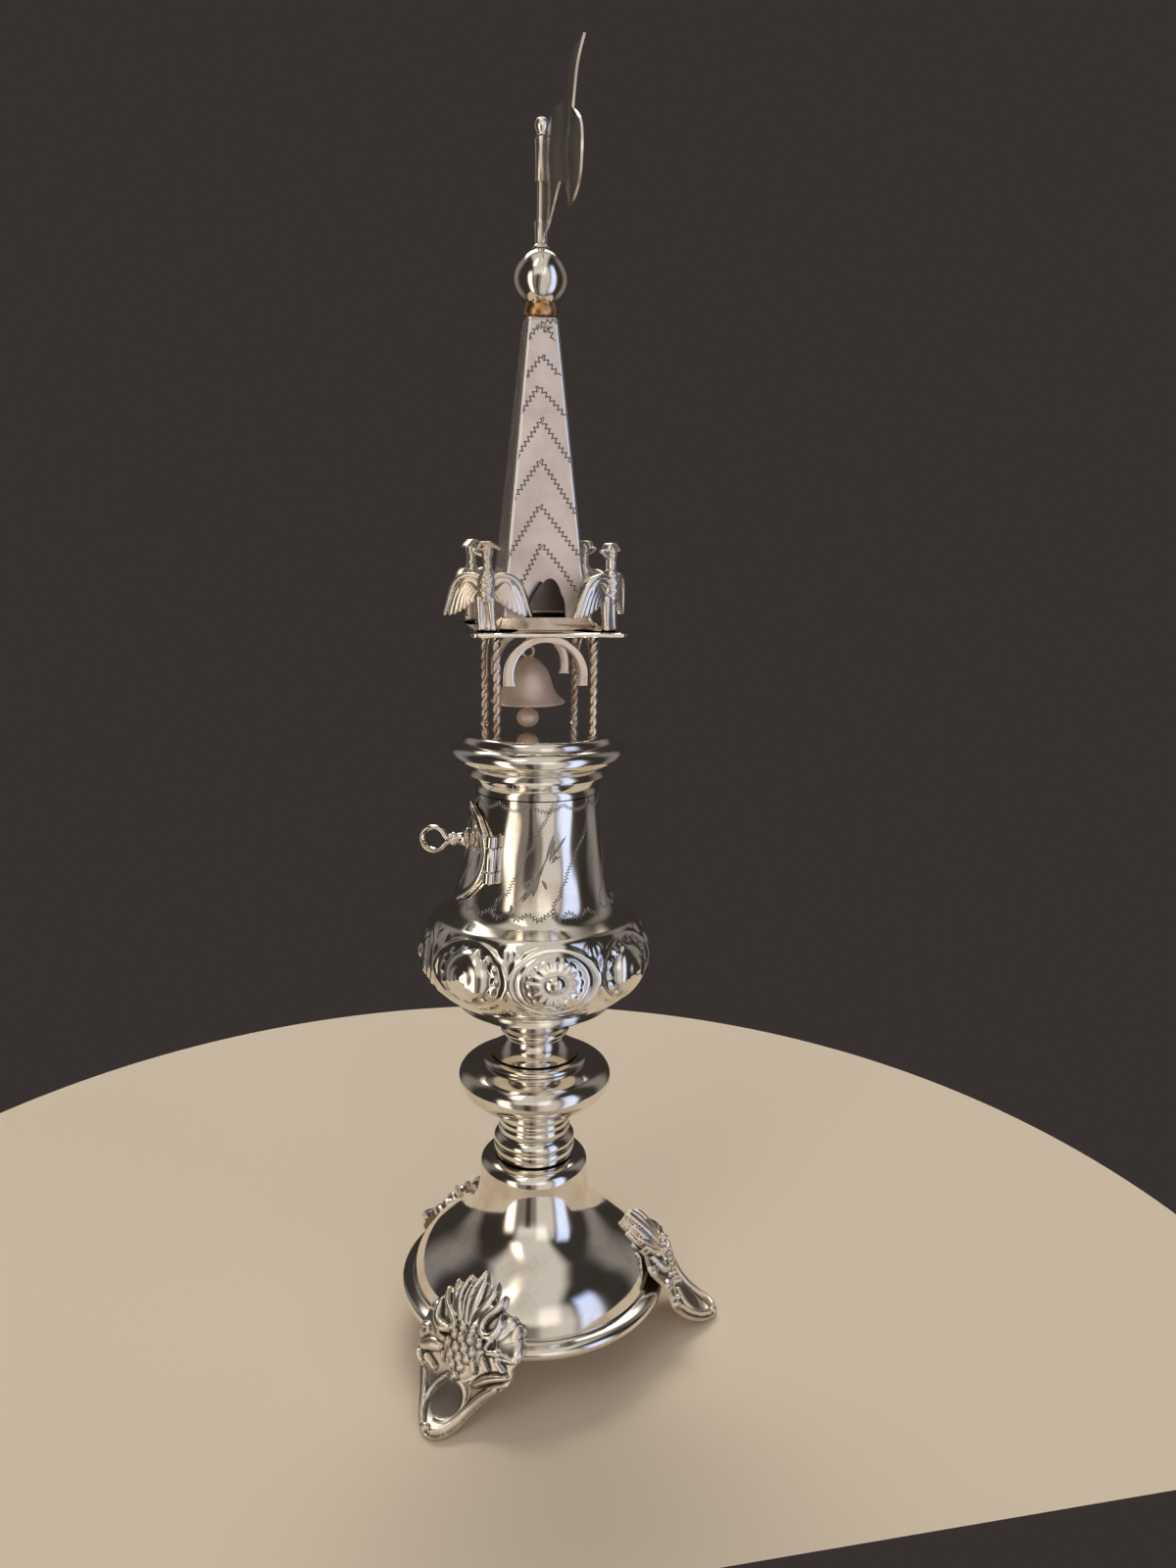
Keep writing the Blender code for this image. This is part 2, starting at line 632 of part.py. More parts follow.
def make_spire():
    """The tall four-sided spire of sheet with an arched gate in its front, and the flared skirt below it."""
    body, hollow = frustum_ring(10.6, 9.5, SKIRT_BOTTOM, SKIRT_BOTTOM + SKIRT_HEIGHT, SPIRE_WALL, False)
    skirt = add_piece("spire_skirt", body, satin_silver)
    boolean(skirt, "DIFFERENCE", cutter("skirt_hollow", hollow))

    body, hollow = frustum_ring(SPIRE_HALF_BOTTOM, SPIRE_HALF_TOP, SPIRE_BOTTOM, SPIRE_TOP, SPIRE_WALL, True)
    spire = add_piece("spire", body, satin_silver)
    boolean(spire, "DIFFERENCE", cutter("spire_hollow", hollow))
    arch = [(GATE_HALF, SPIRE_BOTTOM - 1.0)]
    shoulder = SPIRE_BOTTOM + GATE_HEIGHT * 0.5
    for step in range(9):
        turn = math.pi * step / 8
        arch.append((GATE_HALF * 0.8 * math.cos(turn), shoulder + GATE_HEIGHT * 0.5 * math.sin(turn)))
    arch.append((-GATE_HALF, SPIRE_BOTTOM - 1.0))
    gate = extruded(arch, 9.0)
    bmesh.ops.translate(gate, vec=(0, -SPIRE_HALF_BOTTOM, 0), verts=gate.verts)
    boolean(spire, "DIFFERENCE", cutter("spire_gate", gate))


def make_finial():
    """Brass collar, ball, rod with its flared foot, and the knob that ends the rod."""
    collar = [(0, SPIRE_TOP + GAP), (3.3, SPIRE_TOP + GAP), (3.6, 233.4), (3.2, 234.4), (0, 234.4)]
    add_piece("ball_collar", turned(collar, 12, closed=False), solder_brass)

    steps = 8
    first = math.radians(32)
    last = math.radians(166)
    ball = [(0, BALL_HEIGHT - BALL_RADIUS * math.cos(first))]
    for step in range(steps + 1):
        turn = first + (last - first) * step / steps
        ball.append((BALL_RADIUS * math.sin(turn), BALL_HEIGHT - BALL_RADIUS * math.cos(turn)))
    ball.append((0, BALL_HEIGHT - BALL_RADIUS * math.cos(last)))
    add_piece("ball", turned(ball, 18, closed=False), silver)

    rod = [
        (0, ROD_BOTTOM), (1.2, ROD_BOTTOM), (ROD_RADIUS, ROD_BOTTOM + 0.4),
        (ROD_RADIUS, KNOB_BOTTOM - GAP), (0, KNOB_BOTTOM - GAP),
    ]
    add_piece("rod", turned(rod, 12, closed=False), silver)
    knob = [
        (0, KNOB_BOTTOM), (1.0, KNOB_BOTTOM), (KNOB_RADIUS, 266.9), (KNOB_RADIUS, 268.2),
        (0.9, KNOB_TOP - 0.2), (0, KNOB_TOP),
    ]
    add_piece("rod_knob", turned(knob, 12, closed=False), silver)


make_spire()
make_finial()


# ---------------------------------------------------------------- flag

def make_flag():
    """The swallow-tailed flag of thin sheet on two sleeves that turn on the rod."""
    start = FLAG_BORE + 0.15
    outline = [
        (start, 265.2), (8.0, 265.6), (15.8, 266.8), (19.4, 265.6), (23.0, 266.4), (30.0, 267.4),
        (FLAG_LENGTH, 270.2), (36.0, 264.6), (33.7, 261.0), (36.6, 256.6), (FLAG_LENGTH + 0.3, 252.4),
        (34.2, 246.0), (27.5, 246.3), (19.9, 251.9), (13.8, 248.0), (6.0, 248.4), (start, 246.8),
    ]
    sheet = extruded(outline, FLAG_THICKNESS)
    bmesh.ops.rotate(sheet, cent=(0, 0, 0), matrix=Matrix.Rotation(math.radians(-90), 3, "Z"), verts=sheet.verts)
    flag = add_piece("flag", sheet, silver)
    for label, (low, high) in (("lower", LOWER_SLEEVE), ("upper", UPPER_SLEEVE)):
        sleeve = tube(Vector((0, 0, low)), Vector((0, 0, high)), FLAG_SLEEVE, 12)
        boolean(flag, "UNION", cutter("flag_sleeve_" + label, sleeve))
    bore = tube(Vector((0, 0, LOWER_SLEEVE[0] - 2)), Vector((0, 0, UPPER_SLEEVE[1] + 2)), FLAG_BORE, 12)
    boolean(flag, "DIFFERENCE", cutter("flag_bore", bore))


make_flag()


# ---------------------------------------------------------------- birds

# The bird seen from its front, right half first from the foot up: leg, wing's hind edge, wing tip,
# wing's leading edge, neck, crest and head; then beak, neck, wing and leg on the other side.
BIRD = [
    (2.3, 0.0), (1.9, 3.0), (2.1, 6.0), (3.6, 6.5), (5.4, 4.9), (7.4, 3.3), (9.8, 2.6), (8.7, 5.4),
    (6.8, 8.6), (4.4, 10.6), (1.9, 11.1), (1.0, 12.8), (0.9, 14.6), (2.7, 16.2), (2.2, 17.1),
    (0.3, 17.9), (-1.4, 17.1), (-3.3, 15.8), (-1.1, 15.2), (-1.0, 12.8), (-1.9, 11.1), (-4.4, 10.6),
    (-6.8, 8.6), (-8.7, 5.4), (-9.8, 2.6), (-7.4, 3.3), (-5.4, 4.9), (-3.6, 6.5), (-2.1, 6.0),
    (-1.9, 3.0), (-2.3, 0.0),
]
WING_SWEEP = 0.035       # how far the wings bend back, by the square of the distance from the middle


def make_bird(name, x, y, heading):
    """A cast bird standing on a corner of the plate with half-spread wings, its breast towards the heading."""
    bm = extruded(BIRD, BIRD_THICKNESS)
    for vert in bm.verts:
        vert.co.y += WING_SWEEP * vert.co.x ** 2
    bird = add_piece(name, bm, cast_silver)
    across = BIRD_RADIUS / math.sqrt(2)
    bird.location = Vector((x * across, y * across, PLATE_BOTTOM + PLATE_THICKNESS + GAP)) * MM
    bird.rotation_euler.z = math.radians(heading + 90)


for corner, (corner_x, corner_y) in CORNERS.items():
    make_bird("bird_" + corner, corner_x, corner_y, BIRD_HEADINGS[corner])
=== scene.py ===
"""Silver spice tower on three leaf feet: base, knop, box with a hinged door, bell stage, spire, flag."""
import json
import math
from functools import partial

import bmesh
import bpy
import numpy as np
from mathutils import Matrix, Vector


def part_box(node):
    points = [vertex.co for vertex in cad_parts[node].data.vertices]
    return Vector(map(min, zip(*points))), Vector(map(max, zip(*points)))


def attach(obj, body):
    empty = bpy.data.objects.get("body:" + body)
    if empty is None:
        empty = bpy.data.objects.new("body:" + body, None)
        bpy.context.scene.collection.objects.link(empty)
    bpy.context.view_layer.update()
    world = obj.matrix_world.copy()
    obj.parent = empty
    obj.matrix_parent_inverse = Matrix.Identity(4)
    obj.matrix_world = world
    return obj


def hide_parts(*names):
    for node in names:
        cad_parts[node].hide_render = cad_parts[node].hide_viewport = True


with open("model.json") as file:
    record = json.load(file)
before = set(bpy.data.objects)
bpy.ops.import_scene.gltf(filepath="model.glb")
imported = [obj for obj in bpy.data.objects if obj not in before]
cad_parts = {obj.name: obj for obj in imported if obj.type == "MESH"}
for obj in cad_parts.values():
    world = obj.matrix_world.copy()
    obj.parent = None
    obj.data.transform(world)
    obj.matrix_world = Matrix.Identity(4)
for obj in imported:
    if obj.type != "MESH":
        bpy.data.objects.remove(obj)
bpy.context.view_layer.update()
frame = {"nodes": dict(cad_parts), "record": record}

# ---------------------------------------------------------------- base
# A bell of silver sheet spun over a form, with a rolled rim, polished bright and toned in its grooves.
# All sizes are in millimetres about the tower's own centre line, which is the ball's.

MM = 0.001
FULL = 2 * math.pi


def middle_of(name):
    """The point at floor height under the middle of a node of the frame."""
    low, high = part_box(name)
    return np.array([(low[0] + high[0]) / 2, (low[1] + high[1]) / 2, 0.0])


CENTRE = middle_of("ball")


def colour(code):
    """A six-digit sRGB hex colour as linear light: the sRGB curve undone channel by channel."""
    shades = np.array([int(code[i:i + 2], 16) for i in (1, 3, 5)]) / 255
    linear = np.where(shades <= 0.04045, shades / 12.92, ((shades + 0.055) / 1.055) ** 2.4)
    return (*linear.tolist(), 1.0)


def node(tree, kind, inputs=(), out=0, **settings):
    """One output of a new node with its settings.

    Inputs gives its sockets, in order or by name or number, a value or another node's output.
    """
    made = tree.nodes.new("ShaderNode" + kind)
    for name, value in settings.items():
        setattr(made, name, value)
    for socket, value in inputs.items() if isinstance(inputs, dict) else enumerate(inputs):
        if isinstance(value, bpy.types.NodeSocket):
            tree.links.new(value, made.inputs[socket])
        else:
            made.inputs[socket].default_value = value
    return made.outputs[out]


# Settings that many nodes share: a smooth 0 to 1 rise of a value from one number to another (a fall
# where the first is the higher), and two colours mixed by a share of the second.
EASED = {"interpolation_type": "SMOOTHSTEP"}
MIXED = {"data_type": "RGBA", "out": 2}


def blank_metal(name):
    """A new material with only its output and a fully metallic Principled shader."""
    finish = bpy.data.materials.new(name)
    finish.use_nodes = True
    shader = finish.node_tree.nodes["Principled BSDF"]
    shader.inputs["Metallic"].default_value = 1.0
    return finish, finish.node_tree, shader


def flowing(points, rounds=3):
    """A smooth line near the points: each corner is cut at a quarter of its two sides, again and again.

    The ends stay, and a point given twice stays a corner.
    """
    line = np.array(points, float)
    for _ in range(rounds):
        near, far = line[:-1], line[1:]
        cut = np.stack([0.75 * near + 0.25 * far, 0.25 * near + 0.75 * far], 1).reshape(-1, line.shape[1])
        line = np.vstack([line[:1], cut, line[-1:]])
    return line


def outward(line):
    """Unit normals of a (radius, height) line, on the left of its direction of travel turned to the right."""
    along = np.gradient(line, axis=0)
    along /= np.linalg.norm(along, axis=1, keepdims=True) + 1e-9
    return np.stack([-along[:, 1], along[:, 0]], 1)


def turned(line, around=104):
    """A (radius, height) line carried round the centre line: x = r cos a, y = r sin a, z = height."""
    angle = np.arange(around) * FULL / around
    radius = line[:, :1]
    height = np.broadcast_to(line[:, 1:], (len(line), around))
    return np.stack([radius * np.cos(angle), radius * np.sin(angle), height], -1)


def grid_faces(rows, columns, close_rows=False, first=0):
    """Quads between neighbouring points of a grid whose rows run round; closed rows join end to start too."""
    i, j = np.meshgrid(np.arange(rows if close_rows else rows - 1), np.arange(columns), indexing="ij")
    below, right = (i + 1) % rows, (j + 1) % columns
    corners = [i * columns + j, i * columns + right, below * columns + right, below * columns + j]
    return first + np.stack(corners, -1).reshape(-1, 4)


def gathered(*grids):
    """Several grids of points as one piece: all their points in order, and the faces of each."""
    firsts = np.cumsum([0] + [grid.size // 3 for grid in grids])
    faces = [grid_faces(*grid.shape[:2], first=first) for grid, first in zip(grids, firsts)]
    return np.vstack([grid.reshape(-1, 3) for grid in grids]), np.vstack(faces)


def piece(name, points, faces, finish, slot="polished_silver", body="tower", sharp=40, **marks):
    """One finished piece: millimetre points about the centre line put in the frame, welded, faces outward.

    It stands for the frame's node of the same name. Marks are one number a point, kept as attributes
    that the material can read. Edges bent more than sharp degrees stay crisp.
    """
    mesh = bpy.data.meshes.new(name)
    placed = points.reshape(-1, 3) * MM + CENTRE
    used, faces = np.unique(faces, return_inverse=True)
    mesh.from_pydata(placed[used], [], faces.reshape(-1, 4).tolist())
    for label, values in marks.items():
        kept = mesh.attributes.new(label, "FLOAT", "POINT")
        kept.data.foreach_set("value", values.ravel()[used].astype(np.float32))
    welded = bmesh.new()
    welded.from_mesh(mesh)
    bmesh.ops.remove_doubles(welded, verts=welded.verts, dist=0.002 * MM)
    bmesh.ops.dissolve_degenerate(welded, edges=welded.edges, dist=0.001 * MM)
    bmesh.ops.recalc_face_normals(welded, faces=welded.faces)
    welded.to_mesh(mesh)
    welded.free()
    mesh.shade_smooth()
    mesh.set_sharp_from_angle(angle=math.radians(sharp))
    made = bpy.data.objects.new(name, mesh)
    bpy.context.collection.objects.link(made)
    mesh.materials.append(finish)
    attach(made, body)
    if name in frame["nodes"]:
        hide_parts(name)


def grooves(line):
    """How deep each point of a turned line lies under the line's own average over about a millimetre."""
    run = np.append(0, np.cumsum(np.linalg.norm(np.diff(line, axis=0), axis=1)))
    near = np.exp(-((run[:, None] - run) / 0.8) ** 2) * np.gradient(run)
    near /= near.sum(1, keepdims=True)
    return np.clip(((near @ line - line) * outward(line)).sum(1), 0, 1)


def turned_piece(name, line, finish, slot="polished_silver", around=104):
    """A piece turned from one line that starts and ends on the centre line."""
    piece(name, *gathered(turned(line, around)), finish, slot, hollow=np.repeat(grooves(line), around))


def silver(
    name, smoothest, dullest, pale="#f4f1ea", toned="#ddd3c4", hollows=0.0, engraved=False, edges=False,
):
    """A silver finish between two tones and two roughnesses, with soft unevenness and fine hairlines.

    Hollows is how dark the piece's "hollow" points are left. Edges polishes the "edge" points of a satin
    face. Engraved cuts a toothed line where "off" is near a triangle wave of "run", while "away" is small,
    and a tapered stroke where 4 share (1 - share) is more than "stroke".
    """
    # Patches of toning are about 11 mm wide and the unevenness 8 mm. The hairlines are 0.4 mm apart, far
    # coarser than real ones, so that they show.
    finish, tree, shader = blank_metal(name)
    add = partial(node, tree)
    place = add("TexCoord", out="Object")
    toning = add("TexNoise", {"Vector": place, "Scale": 90.0, "Detail": 5.0, "Roughness": 0.6})
    patches = add("MapRange", [toning, 0.42, 0.72], **EASED)
    tint = add("Mix", {0: patches, 6: colour(pale), 7: colour(toned)}, **MIXED)
    dull = add("MapRange", [toning, 0.35, 0.7, smoothest, dullest])
    hairs = add("TexNoise", {"Vector": place, "Scale": 2600.0, "Detail": 2.0})
    uneven = add("TexNoise", {"Vector": place, "Scale": 120.0, "Detail": 1.0})
    swell = add("Bump", {"Height": uneven, "Strength": 0.06, "Distance": 0.001})
    facing = add("Bump", {"Height": hairs, "Strength": 0.03, "Distance": 0.0001, "Normal": swell})
    if edges:
        rubbed = add("Attribute", attribute_name="edge", out="Fac")
        tint = add("Mix", {0: rubbed, 6: tint, 7: colour("#f6f3ef")}, **MIXED)
        brighter = add("Math", [rubbed, -0.45, 1.0], operation="MULTIPLY_ADD")
        dull = add("Math", [dull, brighter], operation="MULTIPLY")
    if hollows:
        deep = add("MapRange", [add("Attribute", attribute_name="hollow", out="Fac"), 0.02, 0.20], **EASED)
        dirt = add("Math", [deep, hollows], operation="MULTIPLY")
        tint = add("Mix", {0: dirt, 6: tint, 7: colour("#2a221b")}, **MIXED)
        dull = add("Math", [dirt, 0.3, dull], operation="MULTIPLY_ADD")
    if engraved:
        marks = ("off", "away", "run", "stroke", "share")
        off, away, run, stroke, share = [add("Attribute", attribute_name=mark, out="Fac") for mark in marks]
        wave = add("Math", [run, 0.5], operation="PINGPONG")
        tooth = add("Math", [wave, 4.0, -1.0], operation="MULTIPLY_ADD")
        beside = add("Math", [add("Math", [off, tooth], operation="SUBTRACT")], operation="ABSOLUTE")
        line = add("MapRange", [beside, 0.6, 0.15], **EASED)
        toothed = add("Math", [line, add("MapRange", [away, 2.0, 1.5], **EASED)], operation="MULTIPLY")
        rest = add("Math", [1.0, share], operation="SUBTRACT")
        width = add("Math", [add("Math", [share, 4.0], operation="MULTIPLY"), rest], operation="MULTIPLY")
        within = add("Math", [width, stroke], operation="SUBTRACT")
        cut = add("Math", [toothed, add("MapRange", [within, -0.05, 0.3], **EASED)], operation="MAXIMUM")
        inked = add("Math", [cut, 0.62], operation="MULTIPLY")
        tint = add("Mix", {0: inked, 6: tint, 7: colour("#4a4038")}, **MIXED)
        dull = add("Math", [cut, 0.35, dull], operation="MULTIPLY_ADD")
        pressed = {"Height": cut, "Strength": 0.9, "Distance": 0.0003, "Normal": facing}
        facing = add("Bump", pressed, invert=True)
    tree.links.new(tint, shader.inputs["Base Color"])
    tree.links.new(dull, shader.inputs["Roughness"])
    tree.links.new(facing, shader.inputs["Normal"])
    return finish


# Sterling silver, spun or raised, buffed to a mirror and hand-polished for years: clear reflections,
# broken by fine hairlines and slight unevenness, warm where toning is left.
polished = silver("polished_silver", 0.06, 0.14, hollows=0.6)

base_outside = flowing([
    (0, 45.6), (8.0, 45.6), (8.0, 45.6), (11.0, 45.4), (12.5, 44.2), (12.9, 42.6), (12.6, 41.0),
    (12.75, 38.6), (13.3, 35.4), (14.2, 32.6), (15.7, 30.2), (18.0, 28.1), (21.6, 25.8), (25.4, 22.8),
    (27.9, 18.9), (28.6, 16.0), (28.7, 15.1), (28.7, 15.1), (30.0, 14.9), (31.4, 14.4), (31.8, 13.2),
    (31.4, 12.2), (30.6, 12.0),
])
base_inside = flowing([
    (30.0, 12.3), (29.6, 13.4), (28.0, 14.4), (27.3, 17.9), (24.6, 22.0), (21.0, 24.6), (16.0, 26.8),
    (13.2, 29.4), (12.2, 33.0), (11.8, 42.0), (10.8, 44.6), (0, 44.8),
], 2)
turned_piece("base", np.vstack([base_outside, base_inside]), polished, around=128)

# ---------------------------------------------------------------- stem and knop
# Three turned pieces on the base: a ringed tube, a flattened globe that the hand holds, and a flared
# tube with a ring under the box. Spun silver, soldered one on another and polished.

turned_piece("stem_lower", flowing([
    (0, 57.0), (8.0, 57.0), (8.0, 57.0), (8.25, 56.0), (7.95, 55.2), (8.3, 54.4), (8.05, 53.6), (8.5, 52.8),
    (8.3, 52.0), (8.3, 51.5), (8.9, 51.0), (9.55, 50.0), (9.45, 49.0), (8.8, 48.6), (8.8, 48.6), (9.4, 48.2),
    (9.5, 47.2), (9.35, 46.0), (9.35, 46.0), (0, 46.0),
]), polished)
turned_piece("knop", flowing([
    (0, 71.1), (10.2, 71.1), (11.4, 70.9), (12.2, 70.3), (12.2, 69.7), (11.9, 69.4), (11.9, 69.4),
    (14.0, 69.0), (16.6, 67.9), (17.9, 65.9), (17.6, 63.6), (15.6, 61.0), (12.0, 58.5), (8.3, 57.3),
    (8.3, 57.3), (0, 57.2),
]), polished)
turned_piece("stem_upper", flowing([
    (0, 80.8), (7.4, 80.8), (7.4, 80.8), (6.9, 79.8), (6.7, 78.6), (6.9, 77.8), (7.8, 77.5), (8.0, 76.7),
    (7.6, 76.0), (6.7, 75.8), (6.7, 75.8), (6.5, 74.8), (7.2, 73.2), (8.8, 71.9), (10.2, 71.4), (10.2, 71.4),
    (0, 71.3),
]), polished)

# ---------------------------------------------------------------- collar
# The stepped moulding that closes the box: a bead over two hollow steps, and a flat top that is the
# floor of the bell stage. Spun in one and polished.

turned_piece("collar", flowing([
    (0, 146.8), (15.4, 146.8), (15.9, 146.7), (16.5, 146.2), (16.9, 145.0), (16.9, 145.0), (18.3, 144.6),
    (19.5, 143.4), (19.3, 141.8), (18.0, 140.6), (16.2, 140.2), (16.2, 140.2), (15.4, 139.4), (15.2, 138.2),
    (15.5, 137.6), (15.5, 137.6), (14.6, 136.6), (13.8, 135.4), (13.8, 133.9), (13.8, 133.9), (0, 133.9),
]), polished)

# ---------------------------------------------------------------- spice box
# A pear-shaped box raised from one sheet of silver. Its belly is chased from behind with eight oval
# medallions, rosettes and domes by turns, with fluted palmettes between; its neck has a door opening.

NECK = flowing([
    (13.6, 133.6), (13.75, 131.5), (14.2, 126.5), (14.8, 121.0), (15.5, 116.0), (16.2, 112.4), (17.0, 109.5),
    (18.4, 107.6), (20.4, 106.4), (21.9, 105.6),
])
BELLY = flowing([
    (21.9, 105.6), (22.4, 105.2), (22.7, 104.7), (23.8, 103.0), (25.2, 100.0), (25.8, 96.4), (25.4, 93.0),
    (23.6, 89.8), (20.8, 87.3), (18.4, 86.0), (17.2, 85.4), (17.0, 85.0), (17.0, 85.0), (17.7, 84.6),
    (17.7, 84.0), (16.6, 83.5), (16.2, 83.2), (16.2, 83.2), (14.0, 82.3), (10.0, 81.3), (7.9, 81.0),
    (7.9, 81.0), (0, 81.0),
])
SHEET = 0.8
DOOR_MIDDLE = 120.3
OPENING = (8.4, 9.8)
MEDALLIONS, PETALS, BEADS = 8, 16, 14
MEDALLION_MIDDLE = 97.5
# The radii at which ways round the belly and the neck are measured, and a value well off every line.
BELLY_REACH, NECK_REACH = 25.7, 15.3
FAR = 9.0


def smooth(edge, soft):
    """0 where edge is below zero and 1 above it, with an S-shaped slope of the width soft between."""
    share = np.clip(edge / soft + 0.5, 0, 1)
    return share * share * (3 - 2 * share)


def ridge(off, width):
    """A rounded ridge along off = 0, as the bell curve exp(-(off / width) squared)."""
    return np.exp(-(off / width) ** 2)


def evenly(line, count):
    """The same line as count points at equal distances along it."""
    run = np.append(0, np.cumsum(np.linalg.norm(np.diff(line, axis=0), axis=1)))
    places = np.linspace(0, run[-1], count)
    return np.stack([np.interp(places, run, line[:, axis]) for axis in range(line.shape[1])], 1)


def cap(off, radius):
    """A round dome of the given radius on off = 0: the square root of 1 - (off / radius) squared."""
    return np.sqrt(np.clip(1 - (off / radius) ** 2, 0, 1))


def medallion(across, up):
    """A medallion's oval: how far a point lies outside it, and a thin rim on it between two grooves."""
    beyond = (np.hypot(across / 9.55, up / 7.5) - 1) * 8.2
    grooves_by_rim = 0.2 * ridge(beyond + 0.95, 0.35) + 0.2 * ridge(beyond - 0.85, 0.4)
    return beyond, 0.55 * ridge(beyond, 0.5) - grooves_by_rim


def rosette(across, up):
    """A raised flat oval with a flower of sixteen flat petals round a polished boss, in a rim."""
    beyond, edge = medallion(across, up)
    away, turn = np.hypot(across, up * 1.12), np.arctan2(up * 1.12, across)
    lobe = np.abs(np.cos(PETALS / 2 * turn))
    flower = smooth(5.7 + 0.35 * lobe - away, 0.3) * smooth(away - 2.3, 0.4)
    petals = 0.75 * lobe ** 0.45 - 0.5
    boss = 0.8 * cap(away, 1.9) - 0.2 * ridge(away - 2.3, 0.35)
    scored = 0.35 * ridge(away - 6.15 - 0.2 * lobe, 0.4)
    return edge + 0.45 * smooth(-beyond - 1.1, 0.4) + flower * petals + boss - scored


def domed(across, up):
    """A smooth dome with a ringed knob, inside a ring of fourteen beads and a rim."""
    beyond, edge = medallion(across, up)
    nearest = np.round(np.arctan2(up, across) * BEADS / FULL) * FULL / BEADS
    bead = np.hypot(across - 7.2 * np.cos(nearest), up - 5.9 * np.sin(nearest))
    away = np.hypot(across, up)
    dome = 1.8 * cap(away, 5.6) - 0.1 * ridge(away - 5.8, 0.35)
    knob = 0.3 * ridge(away - 1.8, 0.4) + 0.6 * cap(away, 1.1) - 0.15 * ridge(away - 2.5, 0.35)
    return edge + 0.7 * cap(bead, 0.7) + dome + knob


def palmette(across, up):
    """A fluted divider in a raised outline: a pointed head, a narrow waist, and a spreading foot."""
    half = np.interp(
        up, (-7.9, -7.2, -4.0, -1.0, 1.0, 4.0, 6.2, 7.2, 7.8), (2.6, 2.4, 1.1, 0.5, 0.5, 1.2, 2.2, 1.5, 0.3),
    )
    inside = smooth(half - np.abs(across), 0.35) * smooth(7.9 - np.abs(up), 0.4)
    flutes = 0.22 * np.cos(FULL * across / half * 1.5) * smooth(half - 0.9, 0.3)
    outline = 0.3 * ridge(np.abs(across) - half, 0.32) - 0.1 * ridge(np.abs(across) - half - 0.7, 0.35)
    return inside * (0.15 + flutes) + outline * smooth(7.7 - np.abs(up), 0.4)


def blurred(values, times):
    """A grid softened by averaging each point with its four neighbours, again and again.

    The first and last columns are neighbours, as they are round a turned piece.
    """
    for _ in range(times):
        wide = np.pad(np.pad(values, ((1, 1), (0, 0)), mode="edge"), ((0, 0), (1, 1)), mode="wrap")
        beside = wide[:-2, 1:-1] + wide[2:, 1:-1] + wide[1:-1, :-2] + wide[1:-1, 2:]
        values = (wide[1:-1, 1:-1] * 2 + beside) / 6
    return values


def edge_corners(keep, outside=True):
    """The grid corners that touch both a kept cell and a dropped one; the outside may count as dropped."""
    padded = np.pad(keep, 1, mode="constant" if outside else "edge").astype(int)
    touching = padded[:-1, :-1] + padded[1:, :-1] + padded[:-1, 1:] + padded[1:, 1:]
    return (touching > 0) & (touching < 4)


def cells_inside(field):
    """The cells whose middle lies where the field is above zero."""
    return (field[:-1, :-1] + field[1:, :-1] + field[:-1, 1:] + field[1:, 1:]) > 0


def closed_skin(keep, seam=False, open_end=False):
    """Faces of two equal grids over the kept cells, the second behind the first, walled round every edge.

    With a seam, the first and last columns are one line; an open end leaves the last row's wall out.
    """
    rows, columns = keep.shape[0] + 1, keep.shape[1] + 1
    index = np.arange(rows * columns).reshape(rows, columns)
    behind = rows * columns
    i, j = np.nonzero(keep)
    front = np.stack([index[i, j], index[i, j + 1], index[i + 1, j + 1], index[i + 1, j]], 1)
    beside = np.pad(keep, ((0, 0), (1, 1)))
    if seam:
        beside[:, 0], beside[:, -1] = keep[:, -1], keep[:, 0]
    i, j = np.nonzero(beside[:, :-1] != beside[:, 1:])
    upright = np.stack([index[i, j], index[i + 1, j], index[i + 1, j] + behind, index[i, j] + behind], 1)
    above = np.pad(keep, ((1, 1), (0, 0)))
    if open_end:
        above[-1] = keep[-1]
    i, j = np.nonzero(above[:-1] != above[1:])
    level = np.stack([index[i, j], index[i, j + 1], index[i, j + 1] + behind, index[i, j] + behind], 1)
    return np.vstack([front, front[:, ::-1] + behind, upright, level])


neck_rows, around = 66, 400
neck = evenly(NECK, neck_rows)
angle = np.linspace(0, FULL, around + 1)
turn = np.tile(angle, (neck_rows, 1))
height = np.repeat(neck[:, 1:], around + 1, 1)


def neck_radius(height):
    """The outside radius of the neck at a height, read off its line."""
    return np.interp(height, NECK[::-1, 1], NECK[::-1, 0])


# The cells inside the door opening are left out, and the corners round it are drawn onto its oval.
sideways = neck_radius(height) * np.sin(turn)
share = np.hypot(sideways / OPENING[0], (height - DOOR_MIDDLE) / OPENING[1]) + FAR * (np.cos(turn) > 0)
keep = cells_inside(share - 1)
drawn = edge_corners(keep, outside=False)
height = np.where(drawn, DOOR_MIDDLE + (height - DOOR_MIDDLE) / share, height)
turn = np.where(drawn, math.pi - np.arcsin(sideways / share / neck_radius(height)), turn)


def on_neck(turn, height, out):
    """The point at an angle and height, a distance outside the neck's surface."""
    radius = neck_radius(height) + out
    return np.stack([radius * np.cos(turn), radius * np.sin(turn), height], -1)


# Drawn up by hammer, the neck is not quite round: long low waves run up it.
waves = 0.05 * np.sin(7 * turn + 0.3 * height) + 0.022 * np.sin(19 * turn - 0.25 * height)
waves = waves * smooth(height - 108.0, 3.0)
neck_skins = np.stack([on_neck(turn, height, waves), on_neck(turn, height, -SHEET)])


